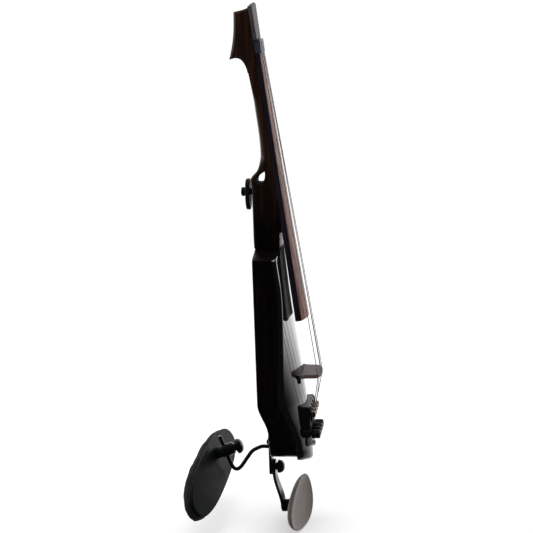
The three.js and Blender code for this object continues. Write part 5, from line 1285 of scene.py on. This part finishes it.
def clamp_outline():
    low, high, floor_x = SEAT_X, SEAT_X + CLAMP_HIGH, BLOCK_X + STRING_ABOVE - SLOT_HALF
    corners = [(-CLAMP_HALF, low), (CLAMP_HALF, low), (CLAMP_HALF, high), (SLOT_HALF, high),
               (SLOT_HALF, floor_x), (-SLOT_HALF, floor_x), (-SLOT_HALF, high),
               (-CLAMP_HALF, high)]
    return rounded(corners, 0.45, 3)


for i, y in enumerate(CLAMP_YS):
    low = CLAMP_Z - CLAMP_LONG
    jaws = prism([(u + y, v) for u, v in clamp_outline()], low, CLAMP_Z, 0.4,
                 lambda u, v, w: Vector((v, u, w)))
    piece(f"clamp_jaws_{i + 1}", [jaws], "brass", f"string_clamp_body_{i + 1}",
          f"string_clamp_{i + 1}")
    foot = prism(rounded(rectangle(y - 1.6, y + 1.6, low - 4, BLOCK_TOP - 0.3), 0.4), BLOCK_X - 2,
                 SEAT_X + 0.6, 0.2, along_x)
    toe = prism(rounded(rectangle(y - 1.9, y + 1.9, low - 4, low + 1), 0.4), SEAT_X, SEAT_X + 1.8,
                0.35, along_x)
    piece(f"clamp_foot_{i + 1}", [foot, toe], "black_metal", f"string_clamp_body_{i + 1}")

# %% [markdown]
# Knurls, ribs, screws and strings repeat a shape or follow a path, so Geometry
# Nodes make them. A small helper starts a tree with named inputs; another one
# puts the tree on a base mesh, sets each input by its socket's identifier, and
# turns the result into a plain mesh, without the modifier.

# %% Helpers for Geometry Nodes


def new_tree(name, **inputs):
    tree = bpy.data.node_groups.new(name, "GeometryNodeTree")
    tree.interface.new_socket("Geometry", in_out="INPUT", socket_type="NodeSocketGeometry")
    for label, kind in inputs.items():
        tree.interface.new_socket(label.replace("_", " "), in_out="INPUT",
                                  socket_type=f"NodeSocket{kind}")
    tree.interface.new_socket("Geometry", in_out="OUTPUT", socket_type="NodeSocketGeometry")
    return tree, tree.nodes.new("NodeGroupInput").outputs, tree.nodes.new("NodeGroupOutput").inputs


def step(tree, kind, values=None, **links):
    made = tree.nodes.new(f"GeometryNode{kind}" if not kind.startswith("Shader") else kind)
    for label, value in (values or {}).items():
        if hasattr(made, label):
            setattr(made, label, value)
        else:
            made.inputs[label].default_value = value
    for label, source in links.items():
        tree.links.new(source, made.inputs[label.replace("_", " ")])
    return made


def close_tree(tree, shape, given, result):
    real = step(tree, "RealizeInstances", Geometry=shape)
    dressed = step(tree, "SetMaterial", Geometry=real.outputs[0], Material=given["Material"])
    tree.links.new(dressed.outputs[0], result["Geometry"])


def grown(name, base, tree, **values):
    holder = bpy.data.objects.new(name, base)
    growth = holder.modifiers.new(name, "NODES")
    growth.node_group = tree
    sockets = {item.name: item.identifier for item in tree.interface.items_tree
               if item.in_out == "INPUT"}
    for label, value in values.items():
        growth[sockets[label.replace("_", " ")]] = value
    bpy.context.scene.collection.objects.link(holder)
    return baked(holder)


print("tree helpers ready")

# %% [markdown]
# Knurled grips. One rounded ridge is drawn; the tree sets copies of it round a
# circle and turns each to face outwards. The plain barrel is a turned shape.
# Four tuner knobs, two dials and the thumb knob share the tree.

# %% Knurled knobs and dials
KNURL, given, result = new_tree("knurl", Count="Int", Radius="Float", Material="Material")
spots = step(KNURL, "MeshCircle", Vertices=given["Count"], Radius=given["Radius"])
share = step(KNURL, "ShaderNodeMath", {"operation": "DIVIDE"})
order = step(KNURL, "InputIndex")
KNURL.links.new(order.outputs[0], share.inputs[0])
KNURL.links.new(given["Count"], share.inputs[1])
angle = step(KNURL, "ShaderNodeMath", {"operation": "MULTIPLY"})
KNURL.links.new(share.outputs[0], angle.inputs[0])
angle.inputs[1].default_value = 2 * pi
turn = step(KNURL, "ShaderNodeCombineXYZ", Z=angle.outputs[0])
ring = step(KNURL, "InstanceOnPoints", Points=spots.outputs[0], Instance=given["Geometry"],
            Rotation=turn.outputs[0])
close_tree(KNURL, ring.outputs[0], given, result)


def ridge(low, high, radius):
    return mesh_of("ridge", [turned([(0, low), (radius * 0.6, low + 0.1), (radius, low + 0.6),
                                     (radius, high - 0.6), (radius * 0.6, high - 0.1), (0, high)],
                                    8)])


def knurled(name, radius, low, high, count, extra, matrix, finish_name, body, node_name):
    bar = 2 * pi * radius / count * 0.3
    core = radius - bar
    barrel = [(0, low + 0.25), (core * 0.55, low + 0.25), (core * 0.62, low), (core - 0.7, low),
              (core, low + 0.7), (core, high - 0.7), (core - 0.7, high), (core * 0.7, high),
              (core * 0.6, high - 0.3), (0, high - 0.3)]
    holder = grown(name, ridge(low + 0.35, high - 0.35, bar), KNURL, Count=count,
                   Radius=core * MM, Material=FINISHES[finish_name])
    joined(holder, [mesh_of("barrel", [turned(barrel, 60)] + extra)], matrix)
    finish_piece(holder, finish_name, body, [node_name])


for i, y in enumerate(CLAMP_YS):
    knurled(f"knurled_tuner_{i + 1}", 4.5, 0.3, 9.3, 18, [turned([(1.6, -4), (1.6, 1)], 24)],
            facing("x", (BLOCK_X, y, KNOB_Z)), "black_metal", f"tuner_knob_body_{i + 1}",
            f"tuner_knob_{i + 1}")
for name, z in (("volume", VOLUME_Z), ("tone", TONE_Z)):
    mark = prism(rounded(rectangle(-0.35, 0.35, 2.4, 5.6), 0.2, 2), 6.5, 6.95, 0.1, along_z)
    knurled(f"ridged_{name}_dial", 7.4, 46.3, 53.3, 24,
            placed(Matrix.Translation((0, 0, 46.3)), mark), facing("y", (CONTROL_X, 0, z)),
            "black_plastic", f"{name}_dial_body", f"{name}_dial")

# %% [markdown]
# Screws. The tree itself makes one head, a cylinder with a tapered rim and a
# six-sided recess, and sets it on every point of the base mesh. Each family of
# screws is one mesh, since all of them sit in the instrument's body.

# %% Screws
TO_FRONT, TO_BACK, SCREW_EASE = (0, pi / 2, 0), (0, -pi / 2, 0), 0.18 * MM
SCREWS, given, result = new_tree("screws", Radius="Float", Height="Float", Hex="Float",
                                 Facing="Vector", Material="Material")
head = step(SCREWS, "MeshCylinder", {"Vertices": 36}, Radius=given["Radius"],
            Depth=given["Height"])
recess = step(SCREWS, "MeshCylinder", {"Vertices": 6}, Radius=given["Hex"], Depth=given["Height"])
lift = step(SCREWS, "ShaderNodeCombineXYZ")
half = step(SCREWS, "ShaderNodeMath", {"operation": "MULTIPLY"})
half.inputs[1].default_value = 0.45
SCREWS.links.new(given["Height"], half.inputs[0])
SCREWS.links.new(half.outputs[0], lift.inputs["Z"])
sunk = step(SCREWS, "Transform", Geometry=recess.outputs[0], Translation=lift.outputs[0])
drilled = step(SCREWS, "MeshBoolean", {"operation": "DIFFERENCE"}, Mesh_1=head.outputs[0],
               Mesh_2=sunk.outputs[0])
spread_out = step(SCREWS, "InstanceOnPoints", Points=given["Geometry"],
                  Instance=drilled.outputs[0], Rotation=given["Facing"])
close_tree(SCREWS, spread_out.outputs[0], given, result)


def screws(name, places, radius, height, hex_radius, facing_turn, nodes):
    points = bpy.data.meshes.new(name)
    points.from_pydata([Vector(p) * MM for p in places], [], [])
    holder = grown(name, points, SCREWS, Radius=radius * MM, Height=height * MM,
                   Hex=hex_radius * MM, Facing=facing_turn, Material=FINISHES["black_metal"])
    ease = holder.modifiers.new("ease", "BEVEL")
    ease.width, ease.segments = SCREW_EASE, 2
    ease.limit_method, ease.angle_limit = "ANGLE", radians(50)
    baked(holder)
    crisp(holder.data, 40)
    finish_piece(holder, "black_metal", "instrument", nodes)


COVER_SCREWS = [(y, z) for y in (8.4, 37.6) for z in (-60.6, 32.6)]
screws("block_screws", [(BLOCK_X + 1.6, y, -100) for y in (-11, 11)], 2, 2.6, 1, TO_FRONT,
       ["block_screw_1", "block_screw_2"])
screws("neck_bolts", [(1.5, 0, z) for z in BOLT_PLACES], 4.4, 2.4, 2.2, TO_BACK,
       ["neck_bolt_1", "neck_bolt_2"])
screws("cover_screws", [(0.9, y, z) for y, z in COVER_SCREWS], 2.4, 1.3, 1.1, TO_BACK,
       [f"cover_screw_{i + 1}" for i in range(4)])
screws("bracket_screws", [(3.6, y, -127.15) for y in (-4.8, 4.8)], 2.43, 1.6, 1.2, TO_BACK,
       ["bracket_screw_1", "bracket_screw_2"])

# %% [markdown]
# Strings follow a path of five points. The tree turns the path into a curve,
# rounds its corners where the string bends over nut and bridge, and sweeps a
# circle along it. The lower strings are thicker.

# %% Strings
WIRE, given, result = new_tree("wire", Radius="Float", Bend="Float", Material="Material")
path = step(WIRE, "MeshToCurve", Mesh=given["Geometry"])
soft = step(WIRE, "FilletCurve", {"mode": "POLY", "Count": 8, "Limit Radius": True},
            Curve=path.outputs[0], Radius=given["Bend"])
profile = step(WIRE, "CurvePrimitiveCircle", {"Resolution": 14}, Radius=given["Radius"])
swept = step(WIRE, "CurveToMesh", {"Fill Caps": True}, Curve=soft.outputs[0],
             Profile_Curve=profile.outputs[0])
close_tree(WIRE, swept.outputs[0], given, result)


def wire(name, stops, radius, bend, finish_name, body, node_name):
    line = bpy.data.meshes.new(name)
    line.from_pydata([p * MM for p in stops], [(i, i + 1) for i in range(len(stops) - 1)], [])
    holder = grown(name, line, WIRE, Radius=radius * MM, Bend=bend * MM,
                   Material=FINISHES[finish_name])
    crisp(holder.data, 40)
    finish_piece(holder, finish_name, body, [node_name])


NUT_AXIS = Vector((-sin(PLANE_TILT), 0, cos(PLANE_TILT)))
for i, name in enumerate(STRING_NAMES):
    stops = [nut_points[i] + NUT_AXIS * NUT_LONG * 0.75, nut_points[i], bridge_points[i],
             clamp_points[i], clamp_points[i] - Z * 4.25]
    wire(f"wound_string_{name}", stops, STRING_RADII[name], 3, "string_steel", "instrument",
         f"string_{name}")

# %% [markdown]
# The thumb stop is an oval plate that slides on a stud behind the heel. The
# plate is a moulded slab with a soft edge and a slot; the knob that clamps it
# shares the knurl tree.

# %% Thumb stop
HEEL_BACK = neck_back(THUMB_Z)
PLATE_FRONT = HEEL_BACK - 3.1
PLATE_Z, PLATE_DEEP, SLOT_REACH = THUMB_Z - 2.5, 4.4, 8.2
thumb_outline = oval(21, 31.5, 2.3, 72)
plate_rows = [(1.0, 5), (0.35, 3.4), (0, 1.9), (0.25, 0.75), (0.9, 0.12), (1.8, 0), (3.2, 0),
              (4, 0.3), (PLATE_DEEP, 1.1)]
plate_rings = [[Vector((PLATE_FRONT - PLATE_DEEP + x, y, z + PLATE_Z))
                for y, z in inset(thumb_outline, pull)] for x, pull in plate_rows]
plate = linked("thumb_rest_plate", mesh_of("thumb_rest_plate", [skin(plate_rings)]))
slot = rounded(rectangle(-STUD_BORE, STUD_BORE, PLATE_Z - SLOT_REACH, PLATE_Z + SLOT_REACH),
               STUD_BORE - 0.01, 6)
carve(plate, [[prism(slot, PLATE_FRONT - 8, PLATE_FRONT + 3, 0, along_x, 1)]])
finish_piece(plate, "black_plastic", "thumb_plate_body", ["thumb_plate"])
on_stud = facing("x", (0, 0, THUMB_Z))
washer = [(0, PLATE_FRONT + 0.3), (3, PLATE_FRONT + 0.3), (3.3, PLATE_FRONT + 0.6),
          (3.3, HEEL_BACK - 0.6), (3, HEEL_BACK - 0.3), (0, HEEL_BACK - 0.3)]
piece("stop_washer", placed(on_stud, turned(washer)), "black_plastic", "instrument",
      "thumb_washer")
knob_front = PLATE_FRONT - 4.7
hub = placed(Matrix.Translation((0, 0, knob_front)),
             turned([(2.2, -1.6), (2.85, -1.6), (2.85, -0.1), (2.7, 0), (2.2, 0)]))
knurled("ridged_thumb_knob", 4.6, knob_front - 4.5, knob_front - 0.9, 18, hub, on_stud,
        "black_metal", "thumb_knob_body", "thumb_knob")

# %% [markdown]
# The shoulder rest hangs on a bent steel rod. The rod is a tube along a path
# with rounded corners, and slides in a turned bush in the tail. Its clamp is a
# turned barrel with a domed knob.

# %% Rod, socket, grip and knobs
TILT = radians(20)
ROD_UP = Vector((-sin(TILT), 0, cos(TILT)))
GRIP_AT = Vector((-41.6, 0, -138.814))
GRIP_FRAME = Matrix.Translation(GRIP_AT) @ Matrix.Rotation(radians(70), 4, "Y")
STRAP_BACK, STRAP_THICK = 4.7, 3


def bent_path(corners, reaches):
    path = [corners[0]]
    for before, here, after, reach in zip(corners, corners[1:], corners[2:], reaches):
        enter = here + (before - here).normalized() * reach
        leave = here + (after - here).normalized() * reach
        path += [path[-1].lerp(enter, k / 6) for k in range(1, 6)]
        path += [enter] + quadratic(enter, here, leave, 10)
    return path + [path[-1].lerp(corners[-1], k / 8) for k in range(1, 9)]


rod_path = bent_path([Vector((22, 0, ROD_Z)), Vector((-3.408, 0, ROD_Z)),
                      Vector((-13.328, 0, ROD_Z - 4.6)), GRIP_AT - ROD_UP * 28.4,
                      GRIP_AT + ROD_UP * 16.6], [2.27, 3.98, 14.2])
piece("bent_rod", [tube(rod_path, 2, 28)], "black_metal", "shoulder_rod_body", "shoulder_rod")
bush = [(2.3, 5), (2.6, 4.4), (4.2, 4.4), (4.5, 4.7), (4.5, 25.1), (4.2, 25.4), (2.3, 25.4),
        (2.3, 5)]
piece("socket_bush", placed(facing("x", (0, 0, ROD_Z)), turned(bush, 40, False)),
      "plated_steel", "rod_socket_body", "rod_socket")
barrel = [(0, -5), (5.5, -5), (6.2, -4.7), (6.6, -4), (6.6, -1.6), (6.3, -1.3), (6.3, -0.9),
          (6.6, -0.6), (6.6, 7.8), (6.3, 8.8), (5.3, 10), (0, 10)]
piece("grip_barrel", placed(GRIP_FRAME, turned(barrel, 56)), "black_metal", "rod_grip_body",
      "rod_grip")


def domed(radius, neck_radius, neck, dome, start):
    rim = start + neck
    rows = [(0, start), (neck_radius, start), (neck_radius, rim), (radius * 0.9, rim),
            (radius * 0.965, rim + dome * 0.03)]
    for i in range(1, 17):
        angle = (i - 0.6) / 15.4 * pi / 2
        rows.append((radius * max(cos(angle), 0) ** 0.75, rim + dome * (0.12 + 0.88 * sin(angle))))
    return turned(rows[:-1] + [(0, rim + dome)], 64)


piece("domed_grip_knob", placed(GRIP_FRAME, domed(7.9, 4, 2.6, 6.6, 10.3)), "knob_black",
      "grip_knob_body", "grip_knob")
CHIN_Z = -155.5
piece("domed_chin_knob", placed(facing("x", (0, 0, CHIN_Z)), domed(7, 4, 1.6, 7.2, 11.3),
                                turned([(2, 5), (2, 12)], 24)),
      "knob_black", "chin_knob_body", "chin_knob")

# %% [markdown]
# The shoulder pad and its plate share one egg-shaped outline that is bent
# along its length. The plate is a moulded shell. The pad is foam: it is made a
# little small, remeshed to even faces, and swelled by a short cloth simulation
# with pressure, which rounds its crown and edges as a stuffed body would. How
# far a point may move is capped, and nothing may move into the plate.

# %% Shoulder plate and pad


def tilted_frame(tilt_deg, yaw_deg, turn_deg, middle):
    tilt, yaw, turn = radians(tilt_deg), radians(yaw_deg), radians(turn_deg)
    normal = Vector((cos(tilt) * cos(yaw), -sin(yaw), sin(tilt) * cos(yaw)))
    long = (normal * normal.y - Y).normalized()
    length = long * cos(turn) + normal.cross(long) * sin(turn)
    axes = Matrix((length, normal.cross(length), normal)).transposed().to_4x4()
    return Matrix.Translation(middle) @ axes


PAD_FRAME = tilted_frame(29.9, 7.8, 6, (-56.8, -15, -156.8))
PAD_LONG, PAD_WIDE, PAD_FRONT, PAD_EGG = 170, 46.4, 5.8, 0.07


def pad_bend(u, v, height):
    along = u / (PAD_LONG / 2)
    return PAD_FRAME @ Vector((u, v + 4 * (along ** 2 - 0.4), height - 4 * (along ** 2 - 0.3)))


def stacked(outline, layers, bend, between=4):
    places = list(range(len(layers)))
    scales = list(zip(places, [row[0] for row in layers]))
    heights = list(zip(places, [row[1] for row in layers]))
    count = (len(layers) - 1) * between
    rows = [(smooth_at(scales, i / between), smooth_at(heights, i / between))
            for i in range(count + 1)]
    return skin([[bend(u * scale, v * scale, height) for u, v in outline]
                 for scale, height in rows])


low = PAD_FRONT + 0.3
shell_oval = oval(PAD_LONG - 5.2, PAD_WIDE - 5.2, 2.4, 108, PAD_EGG)
shell = stacked(shell_oval, [(0.02, low), (0.3, low), (0.62, low), (0.94, low), (0.985, low + 0.1),
                             (1, low + 0.9), (0.993, low + 1.9), (0.975, low + 2.4),
                             (0.9, low + 2.35), (0.62, low + 2.3), (0.3, low + 2.3),
                             (0.02, low + 2.3)], pad_bend)
boss = placed(GRIP_FRAME, turned([(0, -24), (8.4, -24), (7.4, -20), (6.3, -14), (5.7, -10),
                                  (5.6, -7), (5.3, -5.4), (0, -5.3)], 56))
plate = linked("moulded_plate", mesh_of("moulded_plate", [shell]))
under = stacked([(u * 1.2, v * 1.2) for u, v in shell_oval],
                [(0.02, -60), (1, -60), (1, low + 1), (0.02, low + 1)], pad_bend, 1)
post = linked("post", mesh_of("post", boss))
carve(post, [[under]])
joined(plate, [post.data])
bpy.data.objects.remove(post)
finish_piece(plate, "plate_plastic", "shoulder_rest_body", ["shoulder_plate"])

SMALLER, SWELL_CAP, PRESSURE, VOXEL, FRAMES = 0.8, 1.6 * MM, 4, 4 * MM, 20


def pad_shape(less):
    front = PAD_FRONT
    rows = [(0.02, -front - 2), (0.3, -front - 1.95), (0.62, -front - 1.3), (0.86, -front - 0.2),
            (0.955, -front + 1.6), (0.995, -front + 4.2), (0.995, front - 2.6),
            (0.975, front - 0.5), (0.95, front), (0.6, front), (0.3, front), (0.02, front)]
    rows = [(scale, height + (less if height < 0 else 0)) for scale, height in rows]
    outline = oval(PAD_LONG - less * 2, PAD_WIDE - less * 2, 2.4, 108, PAD_EGG)
    return stacked(outline, rows, pad_bend)


def swell(holder):
    scene = bpy.context.scene
    remesh = holder.modifiers.new("even_faces", "REMESH")
    remesh.mode, remesh.voxel_size = "VOXEL", VOXEL
    baked(holder)
    before = [v.co.copy() for v in holder.data.vertices]
    cloth = holder.modifiers.new("fill", "CLOTH")
    cloth.settings.use_pressure = True
    cloth.settings.uniform_pressure_force = PRESSURE
    cloth.settings.effector_weights.gravity = 0
    cloth.point_cache.frame_start, cloth.point_cache.frame_end = 1, FRAMES
    for moment in range(1, FRAMES + 1):
        scene.frame_set(moment)
    baked(holder)
    scene.frame_set(1)
    toward_plate = PAD_FRAME.to_3x3() @ Z
    for vertex, start in zip(holder.data.vertices, before):
        move = vertex.co - start
        move -= toward_plate * max(move.dot(toward_plate), 0)
        if move.length > SWELL_CAP:
            move *= SWELL_CAP / move.length
        vertex.co = start + move
    smoother = holder.modifiers.new("round", "SUBSURF")
    smoother.levels = smoother.render_levels = 1
    baked(holder)
    print("pad swelled from", len(before), "points")


pad = linked("foam_pad", mesh_of("foam_pad", [pad_shape(SMALLER)]))
swell(pad)
pad.data.shade_smooth()
finish_piece(pad, "foam_rubber", "shoulder_rest_body", ["shoulder_pad"], even=False)

# %% [markdown]
# The chin rest: a flat bracket on the tail, a flat arm that twists from the
# bracket to the dish, a ribbed rubber mount and a hollowed dish. The arm is a
# loft of rounded straps; its frame turns from the bracket's to the dish's.

# %% Bracket and twisting arm
DISH_FRAME = tilted_frame(7.5, 9, 4.7, (39.5, -20, -189.2))
DISH_LONG, DISH_WIDE, DISH_THICK, MOUNT_RADIUS, MOUNT_LONG = 84, 46.6, 8, 6.4, 9.6
ARM_X, ARM_HALF, EYE_HALF = STRAP_BACK + STRAP_THICK * 1.5 + 0.3, 8, 4.96
strap = rounded(rectangle(-8, 8, CHIN_Z - 8, -124.5), 6.6, 12)
piece("flat_bracket", [prism(strap, STRAP_BACK, STRAP_BACK + STRAP_THICK, 0.45, along_x)],
      "black_metal", "instrument", "chin_bracket")

axes = DISH_FRAME.to_3x3()
dish_long, dish_across, dish_normal = axes @ X, axes @ Y, axes @ Z
eye = DISH_FRAME @ Vector((0, 0, -DISH_THICK - MOUNT_LONG - 0.6 - STRAP_THICK / 2))
pivot = Vector((ARM_X, 0, CHIN_Z))
straight_end, eye_start = pivot - Z * 7.2, eye - dish_across * MOUNT_RADIUS
reach = (straight_end - eye_start).length
curve = [straight_end] + bezier(straight_end, straight_end - Z * reach * 0.22,
                                eye_start - dish_across * reach * 0.3, eye_start, 28)
arm_rings = []


def arm_ring(point, turn, half):
    across = Y.lerp(-dish_long, turn).normalized()
    through = X.lerp(dish_normal, turn).normalized()
    corner = min(0.6, half * 0.8)
    arm_rings.append([point + across * u + through * v for u, v in
                      rounded(rectangle(-half, half, -STRAP_THICK / 2, STRAP_THICK / 2), corner)])


for i in range(1, 15):
    angle = i / 14 * pi / 2
    arm_ring(pivot + Z * ARM_HALF * cos(angle), 0, ARM_HALF * sin(angle))
for i, point in enumerate(curve):
    arm_ring(point, smoothstep(i / 28, 0, 0.95), lerp(ARM_HALF, EYE_HALF, 0.4 + 0.6 * i / 28))
for i in range(-13, 14):
    angle = i / 14 * pi / 2
    half = MOUNT_RADIUS * cos(angle)
    if i > 0 or half > EYE_HALF:
        arm_ring(eye + dish_across * MOUNT_RADIUS * sin(angle), 1, half)
piece("twisting_arm", [skin(arm_rings)], "black_metal", "chin_arm_body", "chin_arm")

# %% [markdown]
# The mount is a plain barrel with five ribs. One rib is turned, and a tree sets
# copies of it along a line. The dish is stacked from one egg-shaped outline.

# %% Ribbed mount and dish
RIB_COUNT, RIB_STEP, STEM_RADIUS = 5, 2.1, 5.8
RIBS, given, result = new_tree("ribs", Count="Int", Spacing="Vector", Material="Material")
places = step(RIBS, "MeshLine", Count=given["Count"], Offset=given["Spacing"])
stack = step(RIBS, "InstanceOnPoints", Points=places.outputs[0], Instance=given["Geometry"])
close_tree(RIBS, stack.outputs[0], given, result)
MOUNT_TOP = -DISH_THICK - 0.3
rib = mesh_of("rib", [turned([(5.6, 0), (6.2, 0), (6.4, 0.2), (6.4, 0.95), (6.2, 1.15),
                              (5.6, 1.15)])])
mount = grown("ribbed_mount", rib, RIBS, Count=RIB_COUNT, Spacing=(0, 0, RIB_STEP * MM),
              Material=FINISHES["black_plastic"])
stem = [turned([(0, -0.05), (STEM_RADIUS, -0.05), (STEM_RADIUS, MOUNT_LONG), (0, MOUNT_LONG)]),
        turned([(2, -3.3), (2, 1)], 24)]
joined(mount, [mesh_of("stem", stem)],
       DISH_FRAME @ Matrix.Translation((0, 0, MOUNT_TOP - MOUNT_LONG)))
finish_piece(mount, "black_plastic", "chin_dish_body", ["chin_mount"])

dish_outline = oval(DISH_LONG, DISH_WIDE, 2.2, 120, -0.25)
dish_rows = [(0.02, -8), (0.22, -8), (0.6, -7.8), (0.86, -5.8), (0.965, -3), (1, -1),
             (0.995, -0.3), (0.975, 0), (0.945, 0), (0.9, -0.35), (0.8, -1.1), (0.55, -2.2),
             (0.25, -2.6), (0.02, -2.65)]
piece("hollow_dish", [stacked(dish_outline, dish_rows,
                              lambda u, v, w: DISH_FRAME @ Vector((u, v, w)))], "dish_plastic",
      "chin_dish_body", "chin_dish")

# %% [markdown]
# The last small parts: the tail screw's dome, the rear cover with its
# countersinks, and the output socket with its flange.

# %% Tail screw, rear cover and socket
TAIL_SCREW_Z, DOME_RADIUS, DOME_LIP, DOME_HIGH = -128.4, 3.8, 0.15, 2.45
seat = top_face(0, TAIL_SCREW_Z) + 0.6
dome = [(0, seat - 6), (1.9, seat - 6), (1.9, seat), (3.7, seat), (DOME_RADIUS, seat + DOME_LIP)]
for i in range(1, 12):
    angle = i / 12 * pi / 2
    dome.append((DOME_RADIUS * cos(angle), seat + DOME_LIP + DOME_HIGH * sin(angle)))
dome.append((0, seat + DOME_LIP + DOME_HIGH))
piece("domed_tail_screw", placed(facing("x", (0, 0, TAIL_SCREW_Z)), turned(dome)), "tail_satin",
      "instrument", "tail_screw")
cover = linked("back_cover",
               mesh_of("back_cover", [prism(cover_outline(0), 0, COVER_THICK, 0.3, along_x)]))
carve(cover, [bore("x", (0, y, z), 2.55, -1, 1.6) for y, z in COVER_SCREWS])
finish_piece(cover, "black_plastic", "instrument", ["rear_cover"])
sleeve = [(3.35, 20), (5.6, 20), (5.6, 46.3), (8.4, 46.3), (8.4, 47.3), (8, 47.7), (5.4, 47.8),
          (5.1, 47.5), (4.6, 47.5), (4.4, 47.9), (3.6, 47.9), (3.35, 47.6), (3.35, 20)]
piece("flanged_socket", placed(facing("y", (CONTROL_X, 0, JACK_Z)), turned(sleeve, 48, False)),
      "black_metal", "instrument", "output_socket")
